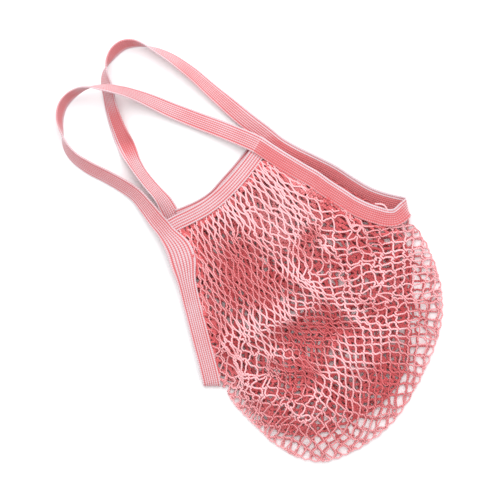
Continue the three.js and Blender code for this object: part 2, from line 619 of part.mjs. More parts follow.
// The net: flat strands between knots, with every diamond between them open.
function netSack() {
  const points = [];
  const faces = [];
  const addPair = (point, normal) => {
    points.push(point.clone().addScaledVector(normal, NET_WALL / 2));
    points.push(point.clone().addScaledVector(normal, -NET_WALL / 2));
    return points.length - 2;
  };
  const quad = (a, b, c, d) => {
    faces.push([a, b, c]);
    faces.push([a, c, d]);
  };
  const knots = new Map();
  for (const layer of ['front', 'back']) {
    for (let j = 0; j <= NET_ROWS; j += 1) {
      for (let i = 0; i <= NET_COLUMNS; i += 1) {
        const key = knotKey(layer, i, j);
        if ((i + j) % 2 === 0 && !knots.has(key)) {
          const steps = neighbourSteps(layer, i, j);
          knots.set(key, { key, i, j, ...surfaceAt(layer, i, j), arms: [], steps });
        }
      }
    }
  }
  const strands = new Map();
  for (const knot of knots.values()) {
    for (const move of knot.steps) {
      const otherKey = knotKey(move.layer, knot.i + move.di, knot.j + move.dj);
      const name = [knot.key, otherKey].sort().join('|') + `|${move.layer}`;
      if (!strands.has(name)) {
        const whole = move.dj === 0 || move.di === 0;
        const count = whole ? 2 * STRAND_STEPS : STRAND_STEPS;
        const line = [];
        for (let k = 0; k <= count; k += 1) {
          const i = knot.i + (move.di * k) / count;
          const j = knot.j + (move.dj * k) / count;
          line.push(surfaceAt(move.layer, i, j));
        }
        strands.set(name, { from: knot.key, to: otherKey, line, sides: [null, null] });
      }
      const strand = strands.get(name);
      const forward = strand.from === knot.key;
      const first = forward ? strand.line[1] : strand.line[strand.line.length - 2];
      const arm = { strand, forward, heading: first.point.clone().sub(knot.point).normalize() };
      arm.length = first.point.distanceTo(knot.point);
      knot.arms.push(arm);
    }
  }
  // Edge points along each strand, left and right of its middle line.
  for (const strand of strands.values()) {
    const { line } = strand;
    strand.left = [];
    strand.right = [];
    for (let k = 1; k < line.length - 1; k += 1) {
      const along = line[k + 1].point.clone().sub(line[k - 1].point).normalize();
      const side = line[k].normal.clone().cross(along).normalize().multiplyScalar(STRAND_WIDTH / 2);
      strand.left.push(addPair(line[k].point.clone().add(side), line[k].normal));
      strand.right.push(addPair(line[k].point.clone().sub(side), line[k].normal));
    }
  }
  // Corners of each knot, one between each two neighbouring strands.
  for (const knot of knots.values()) {
    const count = knot.arms.length;
    knot.corners = [];
    for (let k = 0; k < count; k += 1) {
      const a = knot.arms[k];
      const b = knot.arms[(k + 1) % count];
      const bisector = a.heading.clone().add(b.heading);
      const half = Math.acos(Math.min(1, Math.max(-1, a.heading.dot(b.heading)))) / 2;
      let reach = STRAND_WIDTH / 2 / Math.max(0.42, Math.sin(half));
      reach = Math.min(reach, 0.6 * Math.min(a.length, b.length));
      if (bisector.length() < 0.35) {
        bisector.copy(knot.normal.clone().cross(a.heading));
        reach = STRAND_WIDTH / 2;
      }
      bisector.addScaledVector(knot.normal, -bisector.dot(knot.normal)).normalize();
      knot.corners.push(addPair(knot.point.clone().addScaledVector(bisector, reach), knot.normal));
    }
    knot.centre = addPair(knot.point, knot.normal);
    for (let k = 0; k < count; k += 1) {
      const a = knot.corners[(k + count - 1) % count];
      const b = knot.corners[k];
      faces.push([knot.centre, a, b]);
      faces.push([knot.centre + 1, b + 1, a + 1]);
    }
  }
  // Skins and walls of each strand, from the corners of one knot to those of the other.
  for (const strand of strands.values()) {
    const ends = [knots.get(strand.from), knots.get(strand.to)].map((knot, end) => {
      const k = knot.arms.findIndex((arm) => arm.strand === strand && arm.forward === (end === 0));
      const count = knot.arms.length;
      const after = knot.corners[k];
      const before = knot.corners[(k + count - 1) % count];
      return end === 0 ? { left: after, right: before } : { left: before, right: after };
    });
    const left = [ends[0].left, ...strand.left, ends[1].left];
    const right = [ends[0].right, ...strand.right, ends[1].right];
    for (let k = 0; k < left.length - 1; k += 1) {
      quad(right[k], right[k + 1], left[k + 1], left[k]);
      quad(right[k] + 1, left[k] + 1, left[k + 1] + 1, right[k + 1] + 1);
      quad(left[k], left[k + 1], left[k + 1] + 1, left[k] + 1);
      quad(right[k], right[k] + 1, right[k + 1] + 1, right[k + 1]);
    }
  }
  return closedBody(points, faces);
}

// Finishes: lit cotton tape and the slightly deeper pink of the single threads.
const TAPE_COLOUR = 0xf0b4bc;
const NET_COLOUR = 0xe89aa6;

function cotton(name, colour) {
  const material = new THREE.MeshStandardMaterial({ color: colour, roughness: 0.9, metalness: 0 });
  material.name = name;
  return material;
}

function piece(name, geometry, material) {
  const mesh = new THREE.Mesh(geometry, material);
  mesh.name = name;
  return mesh;
}

const bag = new THREE.Group();
bag.name = 'string_shopping_bag';
bag.add(piece('net_sack', netSack(), cotton('net_cotton', NET_COLOUR)));
bag.add(piece('handle_tape', longTape(), cotton('tape_cotton', TAPE_COLOUR)));
bag.add(piece('front_neck_tape', neckTape(NECKS.front), cotton('tape_cotton', TAPE_COLOUR)));
bag.add(piece('back_neck_tape', neckTape(NECKS.back), cotton('tape_cotton', TAPE_COLOUR)));

// Stand the bag on the surface, centred over the origin.
const box = new THREE.Box3().setFromObject(bag);
const middle = box.getCenter(new THREE.Vector3());
for (const mesh of bag.children) {
  mesh.geometry.translate(-middle.x, -middle.y, -box.min.z);
}

export default bag;
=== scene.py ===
"""Dresses the frame of a cotton string shopping bag that lies flat.

Lengths in the tables are millimetres, seen from above, with +X to the right, +Y from the net's
bottom towards the hand loops and +Z up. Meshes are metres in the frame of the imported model.
"""

import logging
import math
from dataclasses import dataclass, field
from enum import Enum

import bpy
import numpy as np
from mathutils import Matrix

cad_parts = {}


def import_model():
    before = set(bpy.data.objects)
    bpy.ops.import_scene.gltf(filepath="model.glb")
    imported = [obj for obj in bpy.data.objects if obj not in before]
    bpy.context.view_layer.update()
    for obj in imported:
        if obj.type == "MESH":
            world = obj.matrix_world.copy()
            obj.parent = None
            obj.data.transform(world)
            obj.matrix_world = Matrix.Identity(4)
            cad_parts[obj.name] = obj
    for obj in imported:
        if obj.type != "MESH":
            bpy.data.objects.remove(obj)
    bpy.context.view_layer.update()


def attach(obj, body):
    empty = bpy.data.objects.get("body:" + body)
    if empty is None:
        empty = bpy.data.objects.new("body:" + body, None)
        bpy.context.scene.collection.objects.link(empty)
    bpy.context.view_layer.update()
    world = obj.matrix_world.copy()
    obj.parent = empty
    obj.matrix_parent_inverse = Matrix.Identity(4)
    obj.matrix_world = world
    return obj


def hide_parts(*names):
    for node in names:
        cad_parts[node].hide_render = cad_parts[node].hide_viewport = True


LOG = logging.getLogger("string_bag")
MM = 0.001
Array = np.ndarray
Place = tuple[float, float]
Point = tuple[float, float, float]
Colour = tuple[float, float, float]
Guide = tuple[float, float, tuple[Place, ...]]

# Place of the tables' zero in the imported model's frame.
FRAME_SHIFT = np.array([-18.9, -12.25, 0.0])
# Sizes of the tapes.
TAPE_WIDTH = 22.0
NECK_TAPE_WIDTH = 19.0
TAPE_THICKNESS = 2.2

# The long tape, one closed ring of stations along its middle line.
# Columns: x, y, lift of its lower edge, azimuth of its free side, lean of its free side, flare.
LONG_TAPE = (
    (91.1, 95.1, 13.2, 15, 0, 0.0),
    (80.9, 116.0, 11.4, 22, -3, 0.0),
    (67.0, 142.1, 6.2, 27, -8, 0.0),
    (52.0, 168.8, 1.3, 27, -15, 0.0),
    (37.1, 196.0, 0.4, 27, -24, 0.0),
    (25.5, 218.7, 1.8, 29, -36, 0.0),
    (13.9, 240.1, 7.5, 32, -52, 0.0),
    (4.1, 254.0, 15.4, 36, -60, 0.0),
    (-8.2, 269.1, 21.6, 43, -66, 0.0),
    (-20.1, 281.3, 14.5, 53, -84, 0.0),
    (-33.0, 288.3, 4.8, 72, -100, 0.0),
    (-47.9, 290.6, 0.4, 92, -113, 0.0),
    (-62.9, 287.7, 0.0, 112, -115, 0.0),
    (-76.2, 277.8, 0.0, 132, -108, 0.0),
    (-86.0, 262.2, 0.0, 152, -92, 0.0),
    (-92.5, 245.9, 0.0, 166, -70, 0.0),
    (-93.5, 229.1, 0.0, 178, -57, 0.0),
    (-88.1, 208.8, 0.0, 194, -47, 0.0),
    (-78.9, 186.2, 0.0, 200, -44, 0.0),
    (-70.0, 163.0, 1.1, 200, -41, 0.0),
    (-64.9, 143.3, 3.3, 190, -38, 0.0),
    (-64.6, 123.0, 7.0, 181, -30, 0.0),
    (-65.6, 103.8, 11.0, 180, -16, 0.0),
    (-66.0, 84.7, 13.2, 172, 0, 0.0),
    (-71.4, 62.1, 13.2, 162, 0, 9.9),
    (-79.9, 41.2, 11.9, 157, 0, 10.6),
    (-87.0, 20.3, 9.7, 154, 0, 1.8),
    (-98.9, -4.6, 8.4, 154, 0, 0.0),
    (-111.2, -30.2, 7.9, 154, 0, 0.0),
    (-123.1, -55.1, 7.9, 154, 0, 0.0),
    (-134.0, -78.3, 7.9, 151, 0, 0.0),
    (-140.4, -91.1, 7.9, 146, 0, 0.0),
    (-143.5, -96.9, 7.0, 142, 0, 0.0),
    (-144.8, -99.2, 4.0, 140, 0, 0.0),
    (-143.5, -96.9, 0.9, 142, 0, 0.0),
    (-140.4, -91.1, 0.0, 146, 0, 0.0),
    (-134.0, -78.3, 0.0, 151, 0, 0.0),
    (-123.1, -55.1, 0.0, 154, 0, 0.0),
    (-111.2, -30.2, 0.0, 154, 0, 0.0),
    (-98.9, -4.6, 0.0, 154, 0, 0.0),
    (-87.0, 20.3, 0.0, 153, 0, 0.0),
    (-73.1, 45.8, 0.0, 151, 0, 0.0),
    (-59.8, 70.2, 0.0, 152, 0, 0.0),
    (-49.0, 92.2, 0.0, 160, 0, 0.0),
    (-44.5, 110.2, 0.0, 172, 18, 0.0),
    (-43.2, 125.3, 0.0, 180, 42, 0.0),
    (-43.2, 145.0, 0.0, 181, 46, 0.0),
    (-42.2, 164.7, 0.0, 177, 46, 0.0),
    (-39.4, 182.1, 0.0, 169, 33, 0.0),
    (-35.4, 197.8, 0.0, 163, 4, 0.0),
    (-30.9, 214.0, 0.0, 159, -24, 0.0),
    (-24.5, 233.2, 0.0, 152, -36, 0.0),
    (-17.7, 248.2, 0.0, 148, -44, 0.0),
    (-10.9, 261.0, 0.0, 150, -48, 0.0),
    (-5.1, 272.0, 0.0, 150, -51, 0.0),
    (0.7, 281.3, 0.0, 141, -64, 0.0),
    (8.2, 288.8, 0.0, 128, -84, 0.0),
    (18.0, 294.1, 0.0, 110, -104, 0.0),
    (29.9, 297.5, 0.0, 95, -118, 0.0),
    (42.2, 297.0, 0.0, 80, -119, 0.0),
    (53.0, 291.2, 0.0, 58, -111, 0.0),
    (61.9, 281.9, 0.0, 42, -95, 0.0),
    (69.0, 269.1, 0.0, 28, -76, 0.0),
    (75.5, 254.0, 0.0, 19, -62, 0.0),
    (80.9, 237.2, 0.0, 15, -52, 0.0),
    (86.0, 215.2, 0.0, 12, -44, 0.0),
    (89.4, 193.1, 0.0, 10, -38, 0.0),
    (93.2, 169.9, 0.0, 10, -28, 0.0),
    (96.9, 147.9, 0.0, 11, -14, 0.0),
    (101.0, 125.9, 0.0, 14, -4, 0.0),
    (107.1, 98.6, 0.0, 16, 0, 0.0),
    (111.5, 76.6, 0.0, 18, 3, 0.0),
    (120.0, 53.9, 0.0, 21, 14, 0.0),
    (130.9, 30.7, 0.0, 24, 24, 0.0),
    (141.4, 6.4, 0.0, 23, 30, 0.0),
    (148.9, -18.6, 0.0, 21, 31, 0.0),
    (156.4, -40.0, 0.0, 25, 30, 0.0),
    (165.9, -57.4, 0.0, 34, 26, 0.0),
    (175.4, -71.3, 0.0, 44, 18, 0.0),
    (180.5, -78.3, 0.4, 52, 11, 0.0),
    (183.6, -82.4, 2.6, 58, 5, 0.0),
    (184.6, -84.1, 6.8, 60, 0, 0.0),
    (181.9, -85.3, 11.4, 60, 0, 0.0),
    (174.1, -86.4, 13.2, 60, 0, 0.0),
    (164.9, -85.3, 13.2, 60, 0, 0.0),
    (156.4, -78.9, 13.2, 53, 0, 0.0),
    (149.3, -69.0, 13.2, 41, 0, 0.0),
    (140.8, -55.1, 13.2, 30, 0, 0.0),
    (133.3, -38.3, 13.2, 22, 0, 0.0),
    (128.5, -22.0, 13.2, 17, 0, 0.0),
    (122.4, -2.9, 13.2, 16, 0, 0.0),
    (117.3, 16.8, 13.2, 17, 0, 0.0),
    (111.5, 32.5, 13.2, 18, 0, 0.0),
    (106.4, 47.0, 13.2, 18, 0, 0.0),
    (101.3, 62.1, 13.2, 18, 0, 0.0),
    (96.6, 77.1, 13.2, 17, 0, 0.0),
)

# Middle lines of the neck tapes. Columns: x, y, z.
FRONT_NECK = (
    (-61.9, 87.0, 11.8),
    (-47.6, 84.7, 12.2),
    (-29.9, 80.0, 14.4),
    (-9.9, 76.0, 16.0),
    (9.9, 74.8, 16.4),
    (29.9, 76.0, 16.0),
    (50.0, 78.9, 14.4),
    (70.0, 82.9, 12.2),
    (89.1, 87.6, 11.8),
)
BACK_NECK = (
    (-42.2, 89.9, 4.0),
    (-29.9, 85.8, 3.2),
    (-9.9, 80.6, 1.4),
    (9.9, 78.9, 1.2),
    (29.9, 81.8, 1.2),
    (50.0, 84.7, 1.4),
    (70.0, 88.2, 2.5),
    (89.1, 91.6, 3.6),
    (101.3, 93.4, 3.6),
)

# Outline of the net below the side bindings, from the left fold tip to the right one.
NET_OUTLINE = (
    (-134.0, -112.0),
    (-136.5, -130.0),
    (-136.0, -150.0),
    (-134.0, -175.0),
    (-131.0, -200.0),
    (-125.0, -222.0),
    (-114.0, -243.0),
    (-98.0, -260.0),
    (-75.0, -270.0),
    (-50.0, -276.0),
    (-25.0, -278.5),
    (0.0, -277.0),
    (25.0, -271.0),
    (50.0, -262.0),
    (75.0, -251.0),
    (100.0, -238.0),
    (125.0, -220.0),
    (145.0, -198.0),
    (158.0, -175.0),
    (168.0, -150.0),
    (174.0, -125.0),
    (175.0, -104.0),
)
# Stretches of the long tape whose colour carries painted shade: first and last station, and how
# strong.
TAPE_PAINTED_SHADE = (
    (0, 3, 0.16),
    (11, 13, 0.50),
    (16, 22, 0.18),
    (49, 51, 0.68),
    (57, 60, 0.60),
    (65, 70, 0.24),
    (71, 80, 0.74),
    (83, 96, 0.60),
)
# Places of the section's points across a bead, from the tape's edge.
BEAD_PLACES = (0.0, 0.10, 0.32, 0.75, 1.25, 1.8, 2.3)
# Slow waves of a tape's edges: size, reach and phase.
EDGE_WAVES = ((1.0, 17.0, 0.0), (0.6, 7.3, 1.0))
# Smallest length that anything is divided by.
TINY = 1e-9
# Smallest distance between two knots of a centripetal curve.
LEAST_SPAN = 1e-3
# Smallest distance between two neighbours of a thread while it settles.
LEAST_STRAND = 1e-6


def hermite(start: Array, end: Array, leave: Array, arrive: Array, w: Array) -> Array:
    """Points of cubic spans, one for each.

    Args:
        start: First point of each span.
        end: Last point of each span.
        leave: Slope at the first point.
        arrive: Slope at the last point.
        w: Place in each span, from 0 to 1.

    Returns:
        The points.
    """
    c2 = 3 * (end - start) - 2 * leave - arrive
    c3 = 2 * (start - end) + leave + arrive
    return start + w * (leave + w * (c2 + w * c3))


def catmull_closed(rows: Array, t: Array, centripetal: bool) -> Array:
    """Points of a closed Catmull-Rom curve.

    Args:
        rows: Control points, one a row.
        t: Places along the curve, counted in control points.
        centripetal: Whether the knots follow the distances between the points.

    Returns:
        One point for each place.
    """
    count = len(rows)
    i = np.floor(t).astype(int)
    w = (t - i)[:, None]
    p0, p1, p2, p3 = (rows[(i + k) % count] for k in (-1, 0, 1, 2))
    if not centripetal:
        return hermite(p1, p2, (p2 - p0) / 2, (p3 - p1) / 2, w)
    d0, d1, d2 = (
        np.maximum(np.linalg.norm(b - a, axis=1) ** 0.5, LEAST_SPAN)[:, None]
        for a, b in ((p0, p1), (p1, p2), (p2, p3))
    )
    m1 = ((p1 - p0) / d0 - (p2 - p0) / (d0 + d1) + (p2 - p1) / d1) * d1
    m2 = ((p2 - p1) / d1 - (p3 - p1) / (d1 + d2) + (p3 - p2) / d2) * d1
    return hermite(p1, p2, m1, m2, w)


def catmull_open(rows: Array, steps: int) -> Array:
    """Points of an open Catmull-Rom curve through its rows.

    Args:
        rows: Control points, one a row.
        steps: Points from one row to the next.

    Returns:
        The curve's points, both ends included.
    """
    padded = np.vstack([2 * rows[0] - rows[1], rows, 2 * rows[-1] - rows[-2]])
    spans = len(rows) - 1
    t = np.linspace(0, spans, spans * steps + 1)
    i = np.minimum(np.floor(t).astype(int), spans - 1)
    w = (t - i)[:, None]
    p0, p1, p2, p3 = (padded[i + k] for k in range(4))
    return hermite(p1, p2, (p2 - p0) / 2, (p3 - p1) / 2, w)


def unit(vectors: Array) -> Array:
    """Vectors brought to length one."""
    return vectors / np.maximum(np.linalg.norm(vectors, axis=-1, keepdims=True), TINY)


def smooth(value: Array) -> Array:
    """Smooth step from 0 to 1."""
    v = np.clip(value, 0, 1)
    return v * v * (3 - 2 * v)


def step_lengths(points: Array) -> Array:
    """Distance from each point to the next."""
    return np.linalg.norm(np.diff(points, axis=0), axis=1)


def way_along(points: Array) -> Array:
    """Way along a line of points from its first point to each of them."""
    return np.concatenate([[0], np.cumsum(step_lengths(points))])


def spot(xy: Array, x: float, y: float, reach: float) -> Array:
    """Strength of a round spot at each point, 1 in its middle.

    Args:
        xy: Points seen from above.
        x: The middle's x.
        y: The middle's y.
        reach: Distance at which the spot has faded to about a third.

    Returns:
        One strength for each point.
    """
    away = np.hypot(xy[:, 0] - x, xy[:, 1] - y)
    return np.exp(-((away / reach) ** 2))


def nearest(line: Array, xy: Array) -> tuple[Array, Array]:
    """The place of a line that is nearest to each point, seen from above.

    Args:
        line: The line's points, with their heights.
        xy: The points.

    Returns:
        Distance of each point, and the line's height at the nearest place.
    """
    a, b = line[:-1, :2], line[1:, :2]
    d = b - a
    rel = xy[:, None, :] - a[None]
    t = np.clip((rel * d[None]).sum(2) / np.maximum((d * d).sum(1), TINY), 0, 1)
    away = np.linalg.norm(rel - t[..., None] * d[None], axis=2)
    k = away.argmin(1)
    n = np.arange(len(xy))
    level = line[k, 2] + t[n, k] * (line[k + 1, 2] - line[k, 2])
    return away[n, k], level


def inside(polygon: Array, xy: Array) -> Array:
    """Whether each point lies in a polygon, seen from above.

    Args:
        polygon: Its corners.
        xy: The points.

    Returns:
        One truth value for each point.
    """
    a, b = polygon, np.roll(polygon, -1, axis=0)
    x, y = xy[:, :1], xy[:, 1:]
    cross = (a[None, :, 1] > y) != (b[None, :, 1] > y)
    slope = (b[:, 0] - a[:, 0]) / np.where(b[:, 1] == a[:, 1], TINY, b[:, 1] - a[:, 1])
    hit = x < a[None, :, 0] + slope[None] * (y - a[None, :, 1])
    return (cross & hit).sum(1) % 2 == 1


def add_mesh(
    name: str, points: Array, faces: Array, uv: Array, painted_shade: Array, groove: Array
) -> bpy.types.Object:
    """Makes an object of one closed or open skin of quads.

    Args:
        name: The piece's name.
        points: Its points in millimetres of the tables.
        faces: Its quads, as rows of four point numbers.
        uv: Its surface coordinates in millimetres, one pair for each corner of each quad.
        painted_shade: How strongly shade is painted into each point's colour, from 0 to 1.
        groove: How far each point lies down in a groove of the knit, from 0 to 1, which sets the
            painted shade in that groove.

    Returns:
        The object, with its place in its mesh.
    """
    mesh = bpy.data.meshes.new(name)
    mesh.vertices.add(len(points))
    mesh.vertices.foreach_set("co", ((points + FRAME_SHIFT) * MM).astype(np.float32).ravel())
    mesh.loops.add(faces.size)
    mesh.loops.foreach_set("vertex_index", faces.astype(np.int32).ravel())
    mesh.polygons.add(len(faces))
    mesh.polygons.foreach_set("loop_start", np.arange(0, faces.size, 4, dtype=np.int32))
    layer = mesh.uv_layers.new(name="thread_way")
    layer.data.foreach_set("uv", (uv * MM).astype(np.float32).ravel())
    # Marks of painted shade and of painted groove shade, which the cotton finishes read to darken
    # the colour.
    for label, values in (("painted_shade", painted_shade), ("groove", groove)):
        mark = mesh.attributes.new(label, "FLOAT", "POINT")
        mark.data.foreach_set("value", values.astype(np.float32).ravel())
    mesh.update(calc_edges=True)
    mesh.validate()
    mesh.shade_smooth()
    obj = bpy.data.objects.new(name, mesh)
    bpy.context.scene.collection.objects.link(obj)
    return obj


@dataclass(frozen=True)
class Frames:
    """Places and directions along a tape, one row for each.

    Args:
        point: Middle points.
        across: Directions across the tape, towards its free side.
        face: Directions out of its face.
        flare: How much further its sewn side reaches.
        painted_shade: How strongly shade is painted into its colour, from 0 to 1.
    """

    point: Array
    across: Array
    face: Array
    flare: Array
    painted_shade: Array


@dataclass
class RibbedTape:
    """A knitted tape with lengthwise ribs, a groove and a round bead along each edge.

    Args:
        name: The piece's name.
        width: Its width.
        closed: Whether it is a ring.
        thickness: Its greatest thickness.
        ribs: Number of its ribs.
        bead: Width of the bead along each edge.
        groove: Width of the groove beside each bead.
        rib_points: Points of the section from one groove to the next.
        step: Length from one ring of points to the next.
        bead_middle: Distance of a bead's middle from the edge.
        bead_half: Half the width of a bead's round.
        bead_foot: Share of the thickness at a bead's foot.
        rib_foot: Share of the thickness between two ribs.
        rib_round: Power of the ribs' round, fuller below 1.
        plain_edge: Width along each edge that has no groove mark.
        groove_gain: How fast the groove mark, the painted shade in the grooves, grows towards a
            groove's bottom.
        groove_start: Groove mark that is taken off everywhere.
        unshaded_strip: Width along the free edge that keeps out of the painted shade.
        strip_side: Width over which that strip fades.
        strip_light: Share of the painted shade that the strip takes off, which paints light on the
            raised edge.
        floor_share: Height of a point that the floor holds up, as a share of its lift.
        back_shift: Shift of the surface coordinates on the tape's back.
    """

    name: str
    width: float
    closed: bool
    thickness: float = TAPE_THICKNESS
    ribs: int = 6
    bead: float = 2.5
    groove: float = 0.6
    rib_points: int = 6
    step: float = 2.2
    bead_middle: float = 1.25
    bead_half: float = 1.3
    bead_foot: float = 0.10
    rib_foot: float = 0.45
    rib_round: float = 0.8
    plain_edge: float = 1.6
    groove_gain: float = 2.2
    groove_start: float = 0.1
    unshaded_strip: float = 5.5
    strip_side: float = 1.2
    strip_light: float = 1.6
    floor_share: float = 0.05
    back_shift: float = 40.0

    def profile(self) -> tuple[Array, Array]:
        """Half the tape's section.

        Returns:
            Places across the tape, and the half thickness at each.
        """
        half = self.width / 2
        edge = np.array(BEAD_PLACES)
        bead_up = np.sqrt(np.clip(1 - ((edge - self.bead_middle) / self.bead_half) ** 2, 0, 1))
        edge_up = self.thickness / 2 * (self.bead_foot + (1 - self.bead_foot) * bead_up)
        inner = half - self.bead - self.groove
        ribs = np.linspace(-inner, inner, self.ribs * self.rib_points + 1)
        wave = np.abs(np.sin(np.pi * np.arange(len(ribs)) / self.rib_points))
        ribs_up = self.thickness / 2 * (self.rib_foot + (1 - self.rib_foot) * wave**self.rib_round)
        across = np.concatenate([-half + edge, ribs, (half - edge)[::-1]])
        up = np.concatenate([edge_up, ribs_up, edge_up[::-1]])
        return across, up

    def build(self, frames: Frames, waver: float) -> bpy.types.Object:
        """Skins the tape over its frames.

        Args:
            frames: Middle points and directions, a step apart.
            waver: Depth of the slow waver of its edges.

        Returns:
            The tape's object.
        """
        across, up = self.profile()
        around = np.concatenate([across, across[::-1]])
        height = np.concatenate([up, -up[::-1]])
        length = way_along(frames.point)
        share = np.clip((self.width / 2 - around) / self.width, 0, 1)[None, :]
        spread = around[None, :] - frames.flare[:, None] * share
        slow = sum(size * np.sin(length / reach + phase) for size, reach, phase in EDGE_WAVES)
        lift = height[None, :] + waver * slow[:, None] * (2 * share - 1) ** 2
        points = (
            frames.point[:, None, :]
            + frames.across[:, None, :] * spread[:, :, None]
            + frames.face[:, None, :] * lift[:, :, None]
        )
        points[..., 2] = np.maximum(points[..., 2], self.floor_share * np.abs(lift))
        faces, uv = self.quads(length, around)
        # Groove mark: painted shade that darkens the grooves between the ribs.
        low = 1 - np.abs(height) / (self.thickness / 2)
        low = np.where(np.abs(around) > self.width / 2 - self.plain_edge, 0, low)
        low = np.clip(low * self.groove_gain - self.groove_start, 0, 1)
        # Painted light: the strip along the free edge loses its painted shade.
        strip = smooth((around - self.width / 2 + self.unshaded_strip) / self.strip_side)
        painted_shade = frames.painted_shade[:, None] * (1 - self.strip_light * strip[None, :])
        turned = uv.reshape(-1, 4, 2)[:, ::-1].reshape(-1, 2)
        groove = np.tile(low, len(length))
        return add_mesh(
            self.name, points.reshape(-1, 3), faces[:, ::-1], turned, painted_shade.ravel(), groove
        )

    def quads(self, length: Array, around: Array) -> tuple[Array, Array]:
        """Faces of the tape's skin.

        Args:
            length: Way along the tape to each ring of points.
            around: Place across the tape of each point of a ring.

        Returns:
            The quads, and a pair of surface coordinates for each of their corners.
        """
        count, sides = len(length), len(around)
        spans = count if self.closed else count - 1
        i, k = np.meshgrid(np.arange(spans), np.arange(sides), indexing="ij")
        j, m = (i + 1) % count, (k + 1) % sides
        faces = np.stack([i * sides + k, j * sides + k, j * sides + m, i * sides + m], -1)
        faces = faces.reshape(-1, 4)
        u = np.append(length, length[-1] + self.step)
        v = np.append(around, around[0])
        side = np.where(np.arange(sides + 1) < sides // 2, 0.0, self.back_shift)
        corners = ((i, k), (i + 1, k), (i + 1, k + 1), (i, k + 1))
        uv = np.stack([np.stack([u[a], v[b] + side[b]], -1) for a, b in corners], axis=2)
        uv = uv.reshape(-1, 2)
        if self.closed:
            return faces, uv
        return self.capped(faces, uv, count, sides)

    def capped(self, faces: Array, uv: Array, count: int, sides: int) -> tuple[Array, Array]:
        """Closes both ends of an open tape with a strip of quads.

        Args:
            faces: The quads of its skin.
            uv: Their surface coordinates.
            count: Number of rings of points.
            sides: Points of one ring.

        Returns:
            The quads and the surface coordinates with those of the caps.
        """
        caps = []
        for base, turn in ((0, 1), ((count - 1) * sides, -1)):
            for k in range(sides // 2 - 1):
                quad = [base + k, base + k + 1, base + sides - 2 - k, base + sides - 1 - k]
                caps.append(quad[::turn])
        faces = np.vstack([faces, np.array(caps)])
        return faces, np.vstack([uv, np.zeros((4 * len(caps), 2))])


@dataclass
class LongTapeRoute:
    """The ring of tape that binds both side openings and rises as two hand loops.

    Args:
        rows: The stations of its table.
        samples: Points by which its length is measured.
        probe: Way to each side of a station, in stations, that gives its direction.
        fade: Stations over which a stretch of painted shade fades.
    """

    rows: Array = field(default_factory=lambda: np.array(LONG_TAPE, float))
    samples: int = 4001
    probe: float = 0.02
    fade: float = 1.5

    def frames(self, stations: Array) -> Frames:
        """Places and directions of the long tape.

        Args:
            stations: Places along it, counted in rows of its table.

        Returns:
            Its frames there.
        """
        rows, count = self.rows, len(self.rows)
        rise = np.abs(np.sin(np.radians(rows[:, 4]))) * TAPE_WIDTH / 2
        line = np.column_stack([rows[:, :2], rows[:, 2] + TAPE_THICKNESS / 2 + rise])
        t = np.asarray(stations, float) % count
        point = catmull_closed(line, t, True)
        ahead = catmull_closed(line, (t + self.probe) % count, True)
        behind = catmull_closed(line, (t - self.probe) % count, True)
        along = unit(ahead - behind)
        turn = catmull_closed(rows[:, 3:6], t, False)
        azimuth, lean = np.radians(turn[:, 0]), np.radians(turn[:, 1])
        across = np.column_stack(
            [np.cos(azimuth) * np.cos(lean), np.sin(azimuth) * np.cos(lean), np.sin(lean)]
        )
        across = unit(across - along * (across * along).sum(1, keepdims=True))
        face = unit(np.cross(across, along))
        return Frames(point, across, face, np.maximum(turn[:, 2], 0), self.painted_shade_at(t))

    def painted_shade_at(self, t: Array) -> Array:
        """How strongly shade is painted into the tape's colour.

        Args:
            t: Places along it, counted in rows of its table.

        Returns:
            One value from 0 to 1 for each place.
        """
        painted_shade = np.zeros(len(t))
        for start, end, value in TAPE_PAINTED_SHADE:
            begun = smooth((t - start + self.fade) / self.fade)
            left = smooth((end + self.fade - t) / self.fade)
            painted_shade = np.maximum(painted_shade, value * (begun * left))
        return painted_shade

    def even(self, step: float) -> Array:
        """Stations an even step apart around the ring.

        Args:
            step: Length from one to the next.

        Returns:
            The stations, counted in rows of the table.
        """
        t = np.linspace(0, len(self.rows), self.samples)
        points = self.frames(t[:-1]).point
        length = way_along(np.vstack([points, points[:1]]))
        count = int(length[-1] / step)
        return np.interp(np.arange(count) * length[-1] / count, length, t)

    def length(self) -> float:
        """Length of the ring along its middle line."""
        points = self.frames(np.linspace(0, len(self.rows), self.samples)).point
        return float(step_lengths(points).sum())


def neck_frames(rows: Array, steps: int, face_sign: int) -> Frames:
    """Places and directions of a neck tape.

    Args:
        rows: Points along its middle line.
        steps: Frames from one of them to the next.
        face_sign: 1 where its face looks up, -1 where it looks down.

    Returns:
        Its frames.
    """
    point = catmull_open(rows, steps)
    along = unit(np.gradient(point, axis=0))
    across = unit(np.column_stack([-along[:, 1], along[:, 0], np.zeros(len(along))]))
    face = np.cross(along, across) * face_sign
    zero = np.zeros(len(point))
    return Frames(point, across, face, zero, zero)


class Layer(Enum):
    """The upper and lower layer of the net, and its pleat between them."""

    FRONT = "front"
    INNER = "inner"
    BACK = "back"


@dataclass(frozen=True)
class Ridge:
    """A soft line along which the net rises or sinks, and draws together or opens.

    Args:
        start: One end.
        end: The other end.
        reach: Width of its effect to each side.
        rise: How far the net stands above (+) or below (-) its mean level.
        draw: Share by which the threads draw in towards the line.
    """

    start: Place
    end: Place
    reach: float
    rise: float
    draw: float = 0.0

    def offsets(self, xy: Array) -> Array:
        """Vectors from the nearest place on the line to each point.

        Args:
            xy: Points seen from above.

        Returns:
            One vector for each point.
        """
        a, b = np.array(self.start), np.array(self.end)
        t = np.clip(((xy - a) @ (b - a)) / ((b - a) @ (b - a)), 0, 1)
        return xy - a - t[:, None] * (b - a)

    def weight(self, xy: Array) -> Array:
        """Strength of the line at each point, 1 on the line."""
        away = np.linalg.norm(self.offsets(xy), axis=1)
        return np.exp(-((away / self.reach) ** 2))


